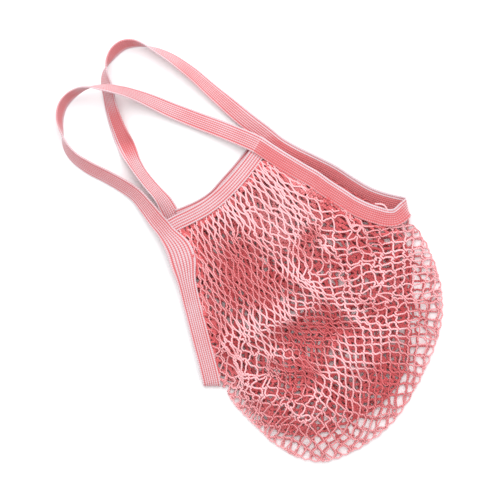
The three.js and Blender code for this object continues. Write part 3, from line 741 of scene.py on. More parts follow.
# Soft folds and dips of the upper layer.
FRONT_RIDGES = (
    Ridge((-98, -72), (-20, -92), 13, 7.5, 0.40),
    Ridge((-20, -92), (18, -104), 14, 5.0, 0.25),
    Ridge((-52, -198), (10, -187), 15, 8.0, 0.25),
    Ridge((10, -187), (72, -190), 15, 7.5, 0.20),
    Ridge((16, -50), (36, -100), 11, 5.5, 0.35),
    Ridge((36, -100), (50, -178), 10, 7.5, 0.35),
    Ridge((64, -172), (30, -206), 9, 4.0, 0.15),
    Ridge((-104, -98), (-104, -150), 12, 6.0, 0.20),
    Ridge((-104, -150), (-86, -204), 12, 5.0, 0.25),
    Ridge((46, -14), (76, -58), 16, 6.0, 0.20),
    Ridge((100, -136), (150, -113), 12, 5.0, 0.30),
    Ridge((-62, -118), (-34, -162), 8, 4.5, 0.35),
    Ridge((14, 60), (20, -60), 13, 1.5, 0.30),
    Ridge((76, 60), (72, -16), 22, 3.0, 0.38),
    Ridge((98, 20), (112, -20), 10, -3.0, 0.0),
    Ridge((-40, -122), (22, -150), 24, -8.0, 0.0),
    Ridge((-78, -140), (-48, -186), 20, -7.5, 0.0),
    Ridge((58, -26), (72, -44), 12, -4.0, 0.48),
    Ridge((-100, -60), (-100, -61), 14, -4.0, 0.0),
    Ridge((60, -150), (70, -170), 13, -4.0, 0.0),
)

# Way from the bag towards the light, seen from above, which sets the painted shade of slopes.
LIGHT_WAY = (0.64, 0.77)
# Places where the upper layer's threads lie ragged: x, y, reach, strength.
RAGGED = (
    (108, -50, 32, 1.25),
    (95, -100, 34, 0.9),
    (90, -150, 30, 1.0),
    (120, -180, 30, 0.6),
    (150, -130, 26, 0.7),
    (-105, -60, 26, 0.7),
    (-98, -112, 32, 0.95),
    (-108, -160, 24, 0.8),
    (-84, -196, 24, 0.7),
    (30, 30, 40, 0.4),
    (60, -70, 26, 0.7),
)
# Spots of painted shade on the upper layer's threads, painted light where the strength is below 0:
# x, y, reach, strength.
PAINTED_SHADE_SPOTS = (
    (-8, -140, 30, 0.85),
    (-38, -150, 15, 0.60),
    (-68, -165, 28, 0.60),
    (-30, -30, 46, 0.38),
    (-15, 10, 30, 0.35),
    (66, -36, 15, 1.15),
    (-104, -56, 15, 0.40),
    (60, -165, 14, 0.35),
    (128, -92, 20, 0.45),
    (24, -240, 30, 0.80),
    (110, -205, 22, 0.25),
    (66, 24, 40, -0.55),
    (162, -64, 9, -0.90),
    (106, 4, 14, 0.40),
    (20, 55, 60, -0.25),
    (-60, -84, 26, -0.45),
    (5, -190, 34, -0.40),
    (100, -120, 36, -0.30),
    (-112, -120, 20, -0.30),
)

# Columns of diamonds of the net at some of its rows: row, y, then pairs of column and x.
FRONT_GUIDES = (
    (0.0, 70.0, ((0, -84), (28, 120))),
    (4.0, 22.0, ((0, -104), (14, 8), (28, 130))),
    (8.5, -26.0, ((0, -118), (14, 0), (28, 146))),
    (13.5, -73.0, ((0, -134), (16, 6), (20, 46), (28, 168))),
    (18.0, -108.0, ((0, -152), (16, 10), (20, 56), (28, 196))),
    (24.5, -152.0, ((0, -176), (7, -90), (14, 2), (20, 76), (28, 208))),
    (32.0, -208.0, ((0, -222), (14, 4), (28, 228))),
    (43.0, -300.0, ((0, -222), (14, 0), (28, 222))),
    (52.0, -375.0, ((0, -222), (14, 0), (28, 222))),
)
BACK_GUIDES = (
    (0.0, 73.0, ((0, -70), (28, 124))),
    (10.0, -22.0, ((0, -118), (28, 158))),
    (19.0, -104.0, ((0, -160), (28, 206))),
    (25.0, -152.0, ((0, -190), (28, 218))),
    (32.0, -208.0, ((0, -222), (14, 4), (28, 228))),
    (43.0, -300.0, ((0, -222), (14, 0), (28, 222))),
    (52.0, -375.0, ((0, -222), (14, 0), (28, 222))),
)
INNER_GUIDES = (
    (0.0, 70.0, ((0, -80), (28, 124))),
    (10.0, -10.0, ((0, -106), (28, 136))),
    (20.0, -84.0, ((0, -134), (28, 168))),
    (28.0, -146.0, ((0, -146), (28, 184))),
    (52.0, -300.0, ((0, -160), (28, 190))),
)
# Spot of painted light on the layers below: x, y, reach, share of their painted shade that it
# takes.
PAINTED_LIGHT_BELOW = (58.0, 12.0, 46.0, 0.55)
# A loose thread that sticks up by the right corner: x, y, z.
LOOSE_THREAD = (
    (156.0, -56.0, 13.0),
    (160.5, -60.0, 16.0),
    (163.5, -65.0, 17.0),
    (163.0, -70.5, 15.5),
    (160.5, -74.0, 13.5),
)
# Lower edge of the pleat that lies between both layers, from left to right.
PLEAT_OUTLINE = (
    (-122.0, -128.0),
    (-122.0, -160.0),
    (-116.0, -195.0),
    (-92.0, -222.0),
    (-55.0, -238.0),
    (-8.0, -250.0),
    (38.0, -243.0),
    (74.0, -220.0),
    (100.0, -188.0),
    (128.0, -158.0),
    (150.0, -124.0),
    (160.0, -96.0),
)
# The lower part of the sack lies turned: centre, reach and degrees of its turn.
TURNED_PART = ((-78.0, -236.0), 66.0, -42.0)
# Waves of the pleat's knots: greatest shift, then the reach of both waves that make it.
PLEAT_SWAY = (5.0, 11.0, 31.0)
PLEAT_DROP = (4.0, 14.0, 23.0)
# Direction that no thread runs in, for turning the threads' sections.
SECTION_TILT = (0.17, 0.11, 1.0)
# Distance from a table's length to the last place that can be looked up in it.
LAST_PLACE = 1.001


def swirl(xy: Array) -> Array:
    """Turns the net's lower part about its centre, less and less towards the outside.

    Args:
        xy: Points seen from above.

    Returns:
        The turned points.
    """
    centre, reach, degrees = TURNED_PART
    rel = xy - np.array(centre)
    away = np.linalg.norm(rel, axis=1)
    angle = np.radians(degrees) * np.exp(-((away / reach) ** 2))
    c, s = np.cos(angle), np.sin(angle)
    turned = np.column_stack([c * rel[:, 0] - s * rel[:, 1], s * rel[:, 0] + c * rel[:, 1]])
    return turned + np.array(centre)


@dataclass(frozen=True)
class Waves:
    """A gently waved surface.

    Args:
        mean: Its mean height.
        rise: Height of its waves.
        reach: Reach of the waves along x and along y.
        phase: Where the waves along y begin.
    """

    mean: float
    rise: float
    reach: Place
    phase: float = 0.0

    def at(self, xy: Array) -> Array:
        """Height of the surface at each point."""
        along = np.sin(xy[:, 0] / self.reach[0])
        return self.mean + self.rise * along * np.sin(xy[:, 1] / self.reach[1] + self.phase)


@dataclass(frozen=True)
class LayerPlan:
    """What sets one layer of the net apart.

    Args:
        guides: Its columns at some of its rows.
        outline: Line seen from above along which it ends or folds.
        neck: Middle line of the neck tape that it is sewn into.
        bindings: Stations of the long tape between which it is sewn in, left and right.
        rim_drop: How far below the tapes' middle it is sewn in.
        rim_reach: Way from a rim over which it swells to its own height.
        stout: Thickness of its threads, as a share of the usual one.
        waves: Its surface, where that is a waved one.
    """

    guides: tuple[Guide, ...]
    outline: tuple[Place, ...]
    neck: tuple[Point, ...]
    bindings: tuple[Place, Place]
    rim_drop: float
    rim_reach: float
    stout: float
    waves: Waves | None = None


# Stations of the long tape between which the layers are sewn in, left and right.
FRONT_BINDINGS = ((33, 23.7), (81, 94.3))
BACK_BINDINGS = ((33, 41.8), (81, 71.6))
PLANS = {
    Layer.FRONT: LayerPlan(
        guides=FRONT_GUIDES,
        outline=NET_OUTLINE,
        neck=FRONT_NECK,
        bindings=FRONT_BINDINGS,
        rim_drop=1.7,
        rim_reach=34.0,
        stout=0.96,
    ),
    Layer.INNER: LayerPlan(
        guides=INNER_GUIDES,
        outline=PLEAT_OUTLINE,
        neck=FRONT_NECK,
        bindings=FRONT_BINDINGS,
        rim_drop=1.7,
        rim_reach=30.0,
        stout=1.8,
        waves=Waves(mean=6.8, rise=1.6, reach=(13, 15)),
    ),
    Layer.BACK: LayerPlan(
        guides=BACK_GUIDES,
        outline=NET_OUTLINE,
        neck=BACK_NECK,
        bindings=BACK_BINDINGS,
        rim_drop=0.0,
        rim_reach=16.0,
        stout=1.2,
        waves=Waves(mean=1.6, rise=0.8, reach=(19, 23), phase=1.0),
    ),
}


@dataclass(frozen=True)
class ThreadLie:
    """How loosely and unevenly the threads lie.

    Args:
        jitter: Spread of all knots.
        ragged_jitter: Spread of the knots where the net is fully ragged.
        hidden_ragged: How ragged the hidden layers are.
        crumple: Size of each of the soft random shifts.
        ragged_crumple: What is added to it where the net is fully ragged.
        crumple_waves: Number of those shifts.
        crumple_lengths: Least and greatest wave length of one.
        calm_rows: Half rows below the rim over which the shifts set in.
        tightest: Least length of a strand, as a share of the way between its knots.
        loosest: Greatest length of an even strand, as a share of that way.
        ragged_loose: What is added to that share where the net is fully ragged.
        at_rim: Length of a strand that ends on the rim or the fold, as a share of its way.
        bow: Spread of the strands' bows, as a share of their spare length.
        twist: Spread of their twists.
        lift: Spread of their lifts.
        ragged_bow: How much further they bow where the net is fully ragged.
        knot_hold: Share of the way back to its place that a knot goes in each round.
        strand_hold: The same for the points between the knots.
        pace: Share of each correction that is made in a round.
        leave: How far a point may leave its layer's surface, up or down.
        floor_share: Least height of a thread's middle, in radii of the layer's threads.
    """

    jitter: float = 0.6
    ragged_jitter: float = 2.3
    hidden_ragged: float = 0.25
    crumple: float = 0.85
    ragged_crumple: float = 1.5
    crumple_waves: int = 7
    crumple_lengths: tuple[float, float] = (26, 62)
    calm_rows: float = 5.0
    tightest: float = 1.02
    loosest: float = 1.06
    ragged_loose: float = 0.34
    at_rim: float = 1.04
    bow: float = 0.2
    twist: float = 0.08
    lift: float = 0.18
    ragged_bow: float = 1.6
    knot_hold: float = 0.03
    strand_hold: float = 0.01
    pace: float = 1.6
    leave: float = 3.5
    floor_share: float = 1.17


@dataclass(frozen=True)
class Shade:
    """How the painted shade and painted light in the threads' colour are made.

    Args:
        hidden: Painted shade of the hidden layers.
        edge_light: Painted light, what comes off that shade at the fold.
        edge_reach: Way from the fold over which it comes off.
        front: Mean painted shade of the upper layer.
        ridge_light: Painted light, what comes off the painted shade for each millimetre that a
            fold rises.
        probe: Way to each side over which the surface's slope is taken.
        slope: Painted shade for a slope of 1 facing away from the light.
        most_painted_shade: Greatest painted shade of the upper layer.
        thinner: How much thinner the threads are at full painted shade, as a share of their
            radius.
    """

    hidden: float = 0.95
    edge_light: float = 0.5
    edge_reach: float = 30.0
    front: float = 0.30
    ridge_light: float = 0.06
    probe: float = 5.0
    slope: float = 0.7
    most_painted_shade: float = 0.9
    thinner: float = 0.28


@dataclass(frozen=True)
class FoldThread:
    """How the thread along a layer's fold runs.

    Args:
        touch: Greatest distance from the fold of a thread that ends on it.
        least_gap: Least way from one crossing thread to the next.
        bow: How far the thread bows outwards between them, as a share of the way.
        most_bow: The furthest that it bows.
        spread: Spread of its height.
        run: Points in one run of it.
    """

    touch: float = 1.0
    least_gap: float = 2.5
    bow: float = 0.2
    most_bow: float = 2.4
    spread: float = 0.8
    run: int = 40


@dataclass(frozen=True)
class Strands:
    """Strands of thread from knot to knot, one row for each.

    Args:
        keys: Wale and row of each.
        knots: Column and row of the upper knots and of the lower knots.
        ends: Places of the upper ends and of the lower ends.
        tied: Whether the upper and the lower ends are knots, and not on the rim or the fold.
    """

    keys: list[tuple[int, int]]
    knots: tuple[Array, Array]
    ends: tuple[Array, Array]
    tied: tuple[Array, Array]


@dataclass
class KnottedNet:
    """The sack of knotted net: two layers that meet in a fold, with a pleat between them.

    Args:
        tape: The long tape that the rims are sewn into.
        columns: Columns of diamonds of one layer.
        rows: Half rows of diamonds of one layer.
        strand: Usual length of thread from knot to knot.
        thread_radius: Usual radius of the thread.
        sides: Corners of a thread's section.
        tuck: How far the rims reach into their tapes.
        neck_share: Part of the neck tape that the net is sewn into, from start to end.
        rim_overlap: How far the first knots lie above the rim's line.
        rim_rows: Half rows over which the net stops following the rim's line.
        pleat_rows: Half rows over which the pleat's waves set in.
        belly: Mean height of the upper layer.
        foot: How far above the fold the upper layer begins to swell.
        swell: Way from the fold over which it swells.
        fold_round: Way from the fold over which each layer leaves it.
        fold_level: Height of the fold.
        binding_points: Points along the rim in each side binding.
        neck_steps: Points along the rim from one point of a neck tape's line to the next.
        outline_steps: Points from one point of an outline to the next.
        skin_steps: Rings of a thread's skin from one of its points to the next.
        pleat_gap: Least way from the pleat up to the upper layer.
        fine: Table steps in one column or half row.
        soften: Table steps over which the columns' bends are rounded.
        cut_rounds: Halvings that find where a strand meets the outline.
        rounds: Rounds in which the threads settle.
        pillar: Half the length of a knot.
        knot_half: Half the width of a knot.
        knot_way: How much of a knot's way is straight down, and how much the strand's own.
        lie: How loosely the threads lie.
        shade: How their painted shade and painted light are made.
        fold: How the thread along a fold runs.
        seed: Seed of the small irregularities.
        rng: Source of the small irregularities.
    """

    tape: LongTapeRoute
    columns: int = 28
    rows: int = 52
    strand: float = 12.0
    thread_radius: float = 1.15
    sides: int = 6
    tuck: float = 4.0
    neck_share: tuple[float, float] = (0.08, 0.92)
    rim_overlap: float = 1.5
    rim_rows: float = 5.0
    pleat_rows: float = 6.0
    belly: float = 17.0
    foot: float = 2.5
    swell: float = 50.0
    fold_round: float = 9.0
    fold_level: float = 3.6
    binding_points: int = 40
    neck_steps: int = 12
    outline_steps: int = 8
    skin_steps: int = 2
    pleat_gap: float = 3.6
    fine: int = 4
    soften: int = 13
    cut_rounds: int = 14
    rounds: int = 90
    pillar: float = 1.9
    knot_half: float = 0.85
    knot_way: tuple[float, float] = (0.6, 0.4)
    lie: ThreadLie = ThreadLie()
    shade: Shade = Shade()
    fold: FoldThread = FoldThread()
    seed: int = 11
    rng: np.random.Generator = field(init=False)

    def __post_init__(self) -> None:
        """Seeds the net's small irregularities."""
        self.rng = np.random.default_rng(self.seed)

    def rim(self, layer: Layer) -> tuple[Array, Array, Array]:
        """Rim of one layer, inside its tapes.

        Args:
            layer: The layer.

        Returns:
            Lines of points in the left binding, the neck tape and the right binding.
        """
        plan = PLANS[layer]
        sides = []
        for start, end in plan.bindings:
            frames = self.tape.frames(np.linspace(start, end, self.binding_points))
            shift = self.tuck - TAPE_WIDTH / 2 - frames.flare
            sides.append(frames.point + frames.across * shift[:, None])
        neck = neck_frames(np.array(plan.neck), self.neck_steps, 1)
        line = neck.point + neck.across * (self.tuck - NECK_TAPE_WIDTH / 2)
        first, last = (int(share * len(line)) for share in self.neck_share)
        return sides[0], line[first:last], sides[1]

    def outline(self, layer: Layer) -> Array:
        """Fold along a layer's sides and bottom, from the left tip to the right one."""
        line = catmull_open(np.array(PLANS[layer].outline, float), self.outline_steps)
        return np.column_stack([line, np.full(len(line), self.fold_level)])

    def warp(self, layer: Layer, column: Array, row: Array) -> Array:
        """Place seen from above of each knot, before the threads settle.

        Args:
            layer: The layer.
            column: Its column of diamonds.
            row: Its half row.

        Returns:
            One x and y for each knot.
        """
        guides = PLANS[layer].guides
        at = np.linspace(0, self.columns, self.fine * self.columns + 1)
        soft = np.hanning(self.soften)
        soft /= soft.sum()
        pad = self.soften // 2
        lines = []
        for _, _, pairs in guides:
            x = np.interp(at, [p[0] for p in pairs], [p[1] for p in pairs])
            before, after = 2 * x[0] - x[pad:0:-1], 2 * x[-1] - x[-2 : -2 - pad : -1]
            lines.append(np.convolve(np.concatenate([before, x, after]), soft, "valid"))
        table = np.array(lines)
        grid = np.linspace(0, self.rows, self.fine * self.rows + 1)
        levels, heights = np.array([guide[:2] for guide in guides]).T
        k = np.clip(np.searchsorted(levels, grid, "right") - 1, 0, len(levels) - 2)
        w = (grid - levels[k]) / (levels[k + 1] - levels[k])
        x_at = table[k] + (table[k + 1] - table[k]) * w[:, None]
        y_at = heights[k] + (heights[k + 1] - heights[k]) * w
        x_pad = np.vstack([np.repeat(x_at[:1], pad, 0), x_at, np.repeat(x_at[-1:], pad, 0)])
        x_at = np.apply_along_axis(np.convolve, 0, x_pad, soft, "valid")
        row_place = np.clip(row * self.fine, 0, len(grid) - LAST_PLACE)
        column_place = np.clip(column * self.fine, 0, len(at) - LAST_PLACE)
        r, c = row_place.astype(int), column_place.astype(int)
        row_w, column_w = row_place - r, column_place - c
        upper = (1 - column_w) * x_at[r, c] + column_w * x_at[r, c + 1]
        lower = (1 - column_w) * x_at[r + 1, c] + column_w * x_at[r + 1, c + 1]
        y = np.interp(row_place, np.arange(len(grid)), y_at)
        return np.column_stack([(1 - row_w) * upper + row_w * lower, y])

    def level(self, layer: Layer, xy: Array) -> Array:
        """Height of one layer's middle surface.

        Args:
            layer: The layer.
            xy: Points seen from above.

        Returns:
            One height for each point.
        """
        plan = PLANS[layer]
        to_fold, _ = nearest(self.outline(layer), xy)
        if plan.waves is None:
            height = np.full(len(xy), self.belly)
            for ridge in FRONT_RIDGES:
                height = height + ridge.rise * ridge.weight(xy)
            foot = self.fold_level + self.foot
            height = foot + (height - foot) * smooth(to_fold / self.swell)
        else:
            height = plan.waves.at(xy)
        if layer is Layer.INNER:
            height = np.minimum(height, self.level(Layer.FRONT, xy) - self.pleat_gap)
        leave = smooth(to_fold / self.fold_round) ** 0.5
        height = self.fold_level + (height - self.fold_level) * leave
        for line in self.rim(layer):
            away, rim = nearest(line, xy)
            rim = rim - plan.rim_drop
            height = rim + (height - rim) * smooth(away / plan.rim_reach)
        return height

    def wales(self, layer: Layer) -> list[Array]:
        """Threads of one layer, settled, each as the points along its middle.

        Args:
            layer: The layer.

        Returns:
            The threads, from left to right and each from top to bottom.
        """
        return self.settle(layer, self.strands(layer, self.knot_places(layer)))

    def knot_places(self, layer: Layer) -> Array:
        """Places seen from above of a layer's full grid of knots.

        Args:
            layer: The layer.

        Returns:
            One x and y for each half column and half row.
        """
        lie = self.lie
        across, down = 2 * self.columns + 1, self.rows + 1
        column, row = np.meshgrid(np.arange(across), np.arange(down), indexing="ij")
        row = row.ravel().astype(float)
        xy = self.warp(layer, column.ravel() / 2, row)
        neck = self.rim(layer)[1]
        rim_y = np.interp(xy[:, 0], neck[:, 0], neck[:, 1])
        first_y = PLANS[layer].guides[0][1]
        xy[:, 1] += (rim_y + self.rim_overlap - first_y) * np.exp(-row / self.rim_rows)
        if layer is Layer.INNER:
            begun = smooth(row / self.pleat_rows)
            size, reach, other = PLEAT_SWAY
            xy[:, 0] += size * (np.sin(xy[:, 0] / reach + np.sin(xy[:, 1] / other)) * begun)
            size, reach, other = PLEAT_DROP
            xy[:, 1] += size * np.sin(xy[:, 1] / reach + xy[:, 0] / other) * begun
        else:
            xy = swirl(xy)
        xy += self.crumple(layer, xy) * smooth(row / lie.calm_rows)[:, None]
        xy += self.rng.normal(0, lie.jitter, xy.shape)
        xy += self.rng.normal(0, lie.ragged_jitter, xy.shape) * self.ragged(layer, xy)[:, None]
        if layer is Layer.FRONT:
            for ridge in FRONT_RIDGES:
                pull = ridge.draw * ridge.weight(xy)
                xy -= ridge.offsets(xy) * pull[:, None]
        return xy.reshape(across, down, 2)

    def ragged(self, layer: Layer, xy: Array) -> Array:
        """How ragged the threads lie.

        Args:
            layer: The layer.
            xy: Points seen from above.

        Returns:
            One value for each point, about 0 to 1.
        """
        if layer is not Layer.FRONT:
            return np.full(len(xy), self.lie.hidden_ragged)
        total = np.zeros(len(xy))
        for x, y, reach, value in RAGGED:
            total = np.maximum(total, value * spot(xy, x, y, reach))
        return total

    def crumple(self, layer: Layer, xy: Array) -> Array:
        """Soft random shifts by which the rows and columns of a layer wander.

        Args:
            layer: The layer.
            xy: Points seen from above.

        Returns:
            One shift for each point.
        """
        lie = self.lie
        shift = np.zeros_like(xy)
        for _ in range(lie.crumple_waves):
            angle, phase = self.rng.uniform(0, 2 * np.pi, 2)
            wave = 2 * np.pi / self.rng.uniform(*lie.crumple_lengths)
            place = xy @ np.array([np.cos(angle), np.sin(angle)]) * wave + phase
            turn = self.rng.uniform(0, 2 * np.pi)
            shift += np.sin(place)[:, None] * np.array([np.cos(turn), np.sin(turn)])
        size = lie.crumple + lie.ragged_crumple * self.ragged(layer, xy)
        return shift * size[:, None]

    def strands(self, layer: Layer, places: Array) -> Strands:
        """Strands of a layer, cut off at its rim and its fold.

        Args:
            layer: The layer.
            places: Places of its full grid of knots.

        Returns:
            The strands.
        """
        left, neck, right = self.rim(layer)
        polygon = np.vstack([neck[::-1], left[::-1], self.outline(layer), right])[:, :2]
        across, down = places.shape[:2]
        within = inside(polygon, places.reshape(-1, 2)).reshape(across, down)
        within[:, 0] = False
        upper, lower, keys = [], [], []
        for wale in range(across - 1):
            column = wale + (np.arange(down) + wale) % 2
            for row in range(down - 1):
                if within[column[row], row] or within[column[row + 1], row + 1]:
                    upper.append((column[row], row))
                    lower.append((column[row + 1], row + 1))
                    keys.append((wale, row))
        a, b = np.array(upper), np.array(lower)
        start, end = places[a[:, 0], a[:, 1]], places[b[:, 0], b[:, 1]]
        start_in, end_in = within[a[:, 0], a[:, 1]], within[b[:, 0], b[:, 1]]
        low, high = np.zeros(len(a)), np.ones(len(a))
        for _ in range(self.cut_rounds):
            middle = (low + high) / 2
            here = inside(polygon, start + (end - start) * middle[:, None])
            further = np.where(start_in, here, ~here)
            low, high = np.where(further, middle, low), np.where(further, high, middle)
        cut = start + (end - start) * ((low + high) / 2)[:, None]
        start = np.where(start_in[:, None], start, cut)
        end = np.where(end_in[:, None], end, cut)
        return Strands(keys, (a, b), (start, end), (start_in, end_in))

    def tie(self, strands: Strands) -> tuple[Array, Array, Array, Array]:
        """Numbers the ends of the strands, with one number for each knot.

        Args:
            strands: The strands.

        Returns:
            Place of each knot or loose end, whether the rim or the fold holds it, and the numbers
            of the upper and of the lower end of each strand.
        """
        numbers: dict[tuple[int, int], int] = {}
        places: list[Array] = []
        held: list[bool] = []
        ends = []
        for knots, spots, tied in zip(strands.knots, strands.ends, strands.tied):
            own = []
            for knot, place, free in zip(map(tuple, knots.tolist()), spots, tied):
                if free and knot in numbers:
                    own.append(numbers[knot])
                    continue
                if free:
                    numbers[knot] = len(places)
                own.append(len(places))
                places.append(place)
                held.append(not free)
            ends.append(np.array(own))
        return np.array(places), np.array(held), ends[0], ends[1]

    def settle(self, layer: Layer, strands: Strands) -> list[Array]:
        """Lets the threads take their length between the knots.

        Args:
            layer: The layer.
            strands: Its strands.

        Returns:
            The threads.
        """
        lie = self.lie
        knots, held, first, last = self.tie(strands)
        n_k, n_s = len(knots), len(first)
        span = knots[last] - knots[first]
        rest = np.linalg.norm(span, axis=1)
        rough = self.ragged(layer, (knots[first] + knots[last]) / 2)
        loose = lie.loosest + lie.ragged_loose * rough
        even = np.clip(self.strand, rest * lie.tightest, rest * loose)
        whole = strands.tied[0] & strands.tied[1]
        length = np.where(whole, even, rest * lie.at_rim)
        inner = np.concatenate([knots[first] + span / 3, knots[first] + span * 2 / 3])
        side = unit(np.column_stack([-span[:, 1], span[:, 0]]))
        spare = np.sqrt(np.maximum(length**2 - rest**2, 0))
        bow = self.rng.normal(0, lie.bow, n_s) * spare * (1 + lie.ragged_bow * rough)
        twist = self.rng.normal(0, lie.twist, n_s) * spare
        inner[:n_s] += side * (bow + twist)[:, None]
        inner[n_s:] += side * (bow - twist)[:, None]
        xy = np.vstack([knots, inner])
        xyz = np.column_stack([xy, self.level(layer, xy)])
        lift = self.rng.normal(0, lie.lift, n_s) * spare
        xyz[n_k : n_k + n_s, 2] += lift
        xyz[n_k + n_s :, 2] += lift
        middles = n_k + np.arange(n_s)
        chains = np.column_stack([first, middles, middles + n_s, last])
        lowest = lie.floor_share * PLANS[layer].stout * self.thread_radius
        self.relax(xyz, held, chains, length, lowest)
        return self.join(strands, xyz, chains)

    def relax(
        self, xyz: Array, held: Array, chains: Array, length: Array, lowest: float
    ) -> None:
        """Moves the points, in their own array, until the strands have their length.

        Args:
            xyz: The points, with the knots first.
            held: Whether each knot is held in its place.
            chains: Numbers of the four points along each strand.
            length: Length of each strand.
            lowest: Least height of a point.
        """
        lie = self.lie
        home = xyz.copy()
        between = len(xyz) - len(held)
        free = np.concatenate([~held, np.ones(between, bool)]).astype(float)
        ends0, ends1 = chains[:, :-1].T.ravel(), chains[:, 1:].T.ravel()
        goal = np.tile(length / 3, 3)
        share = np.bincount(ends0, minlength=len(xyz)) + np.bincount(ends1, minlength=len(xyz))
        hold = np.repeat([lie.knot_hold, lie.strand_hold], [len(held), between])
        for _ in range(self.rounds):
            d = xyz[ends1] - xyz[ends0]
            now = np.linalg.norm(d, axis=1)
            fix = d * ((now - goal) / np.maximum(now, LEAST_STRAND) / 2)[:, None]
            move = np.zeros_like(xyz)
            for axis in range(3):
                move[:, axis] += np.bincount(ends0, fix[:, axis], len(xyz))
                move[:, axis] -= np.bincount(ends1, fix[:, axis], len(xyz))
            xyz += move / share[:, None] * lie.pace * free[:, None]
            xyz += (home - xyz) * (hold * free)[:, None]
            xyz[:, 2] = np.clip(xyz[:, 2], home[:, 2] - lie.leave, home[:, 2] + lie.leave)
            xyz[:, 2] = np.maximum(xyz[:, 2], lowest)

    def join(self, strands: Strands, xyz: Array, chains: Array) -> list[Array]:
        """Joins strands into threads that run beside each other through the knots.

        Args:
            strands: The strands, by wale and row.
            xyz: The settled points.
            chains: Numbers of the four points along each strand.

        Returns:
            The threads.
        """
        straight, own = self.knot_way
        previous = (-1, -1)
        threads: list[list[Array]] = []
        for s, (wale, row) in enumerate(strands.keys):
            run = [xyz[number] for number in chains[s]]
            way = unit(run[-1] - run[0])
            down = np.array([0.0, -1.0, 0.0]) * straight + way * own
            lean = self.knot_half if (row + wale) % 2 else -self.knot_half
            beside = np.array([lean, 0.0, 0.0])
            if strands.tied[0][s]:
                run[0] = run[0] - beside + down * self.pillar
            if strands.tied[1][s]:
                run[-1] = run[-1] + beside - down * self.pillar
            if previous == (wale, row - 1) and strands.tied[0][s]:
                threads[-1].extend(run)
            else:
                threads.append(run)
            previous = (wale, row)
        return [np.array(thread) for thread in threads]

    def painted_shade_at(self, layer: Layer, points: Array) -> Array:
        """How strongly shade and light are painted into each point's colour, from 0 to 1.

        Args:
            layer: The layer.
            points: Points along its threads.

        Returns:
            One value for each point.
        """
        shade = self.shade
        xy = points[:, :2]
        # Hidden layers: painted shade for lying under the upper layer, less of it near the fold
        # and in one spot of painted light.
        if layer is not Layer.FRONT:
            edge, _ = nearest(self.outline(Layer.BACK), xy)
            x, y, reach, share = PAINTED_LIGHT_BELOW
            lit = share * spot(xy, x, y, reach)
            near = smooth(1 - edge / shade.edge_reach)
            return (shade.hidden - shade.edge_light * near) * (1 - lit)
        # Upper layer: spots of painted shade, painted highlights on rising folds, and painted
        # shade on slopes that face away from the light.
        painted_shade = np.full(len(xy), shade.front)
        for x, y, reach, value in PAINTED_SHADE_SPOTS:
            painted_shade += value * spot(xy, x, y, reach)
        for ridge in FRONT_RIDGES:
            painted_shade -= shade.ridge_light * max(ridge.rise, 0.0) * ridge.weight(xy)
        ahead = np.array(LIGHT_WAY) * shade.probe
        rise = self.level(layer, xy + ahead) - self.level(layer, xy - ahead)
        return np.clip(painted_shade + shade.slope * (rise / (2 * shade.probe)), 0, shade.most_painted_shade)

    def edge_threads(self, layer: Layer, threads: list[Array]) -> list[Array]:
        """Threads along a layer's fold, from one crossing thread to the next.

        Args:
            layer: The layer.
            threads: The layer's threads.

        Returns:
            The threads along the fold, in short runs.
        """
        fold = self.fold
        line = self.outline(layer)
        tips = np.array([tip for thread in threads for tip in (thread[0], thread[-1])])
        away, _ = nearest(line, tips[:, :2])
        ends = tips[away < fold.touch]
        place = np.linalg.norm(ends[:, None, :2] - line[None, :, :2], axis=2).argmin(1)
        out = unit(np.column_stack([-np.gradient(line[:, 1]), np.gradient(line[:, 0])]))
        order = np.lexsort((ends[:, 0], place))
        ends, place = ends[order], place[order]
        way = [ends[0]]
        for end, near in zip(ends[1:], place[1:]):
            gap = np.linalg.norm(end[:2] - way[-1][:2])
            if gap < fold.least_gap:
                continue
            middle = (way[-1] + end) / 2
            middle[:2] -= out[near] * min(fold.bow * gap, fold.most_bow)
            middle[2] = self.fold_level + self.rng.normal(0, fold.spread)
            way.extend([middle, end])
        starts = range(0, len(way) - 1, fold.run)
        return [np.array(way[start : start + fold.run + 1]) for start in starts]

    def tubes(self, name: str, layer: Layer, threads: list[Array]) -> bpy.types.Object:
        """Skins a run of threads as one piece.

        Args:
            name: The piece's name.
            layer: The layer that the threads belong to.
            threads: The points along each thread.

        Returns:
            The piece.
        """
        points, faces, uvs = [], [], []
        base = 0
        angle = np.arange(self.sides) * 2 * np.pi / self.sides
        section = np.column_stack([np.cos(angle), np.sin(angle)]) * self.thread_radius
        tilt = unit(np.array(SECTION_TILT))
        stout = PLANS[layer].stout
        lines = [catmull_open(thread, self.skin_steps) for thread in threads]
        # Painted shade of each point, which also thins the thread.
        painted_shade = self.painted_shade_at(layer, np.vstack(lines))
        marks = np.split(painted_shade, np.cumsum([len(line) for line in lines])[:-1])
        for line, mark in zip(lines, marks):
            along = unit(np.gradient(line, axis=0))
            across = unit(np.cross(along, tilt))
            up = np.cross(across, along)
            ring = section[None] * (stout - self.shade.thinner * mark)[:, None, None]
            skin = line[:, None] + across[:, None] * ring[..., :1] + up[:, None] * ring[..., 1:]
            points.append(skin.reshape(-1, 3))
            count = len(line)
            i, k = np.meshgrid(np.arange(count - 1), np.arange(self.sides), indexing="ij")
            m = (k + 1) % self.sides
            quad = np.stack([i, i, i + 1, i + 1], -1) * self.sides
            quad = quad + np.stack([k, m, m, k], -1) + base
            faces.append(quad.reshape(-1, 4))
            way = way_along(line)
            u = np.stack([way[i], way[i], way[i + 1], way[i + 1]], -1)
            v = np.stack([k, k + 1, k + 1, k], -1)
            uvs.append(np.stack([u, v], -1).reshape(-1, 2))
            base += count * self.sides
        painted_shade = np.repeat(painted_shade, self.sides)
        return add_mesh(name, np.vstack(points), np.vstack(faces), np.vstack(uvs), painted_shade, painted_shade * 0)


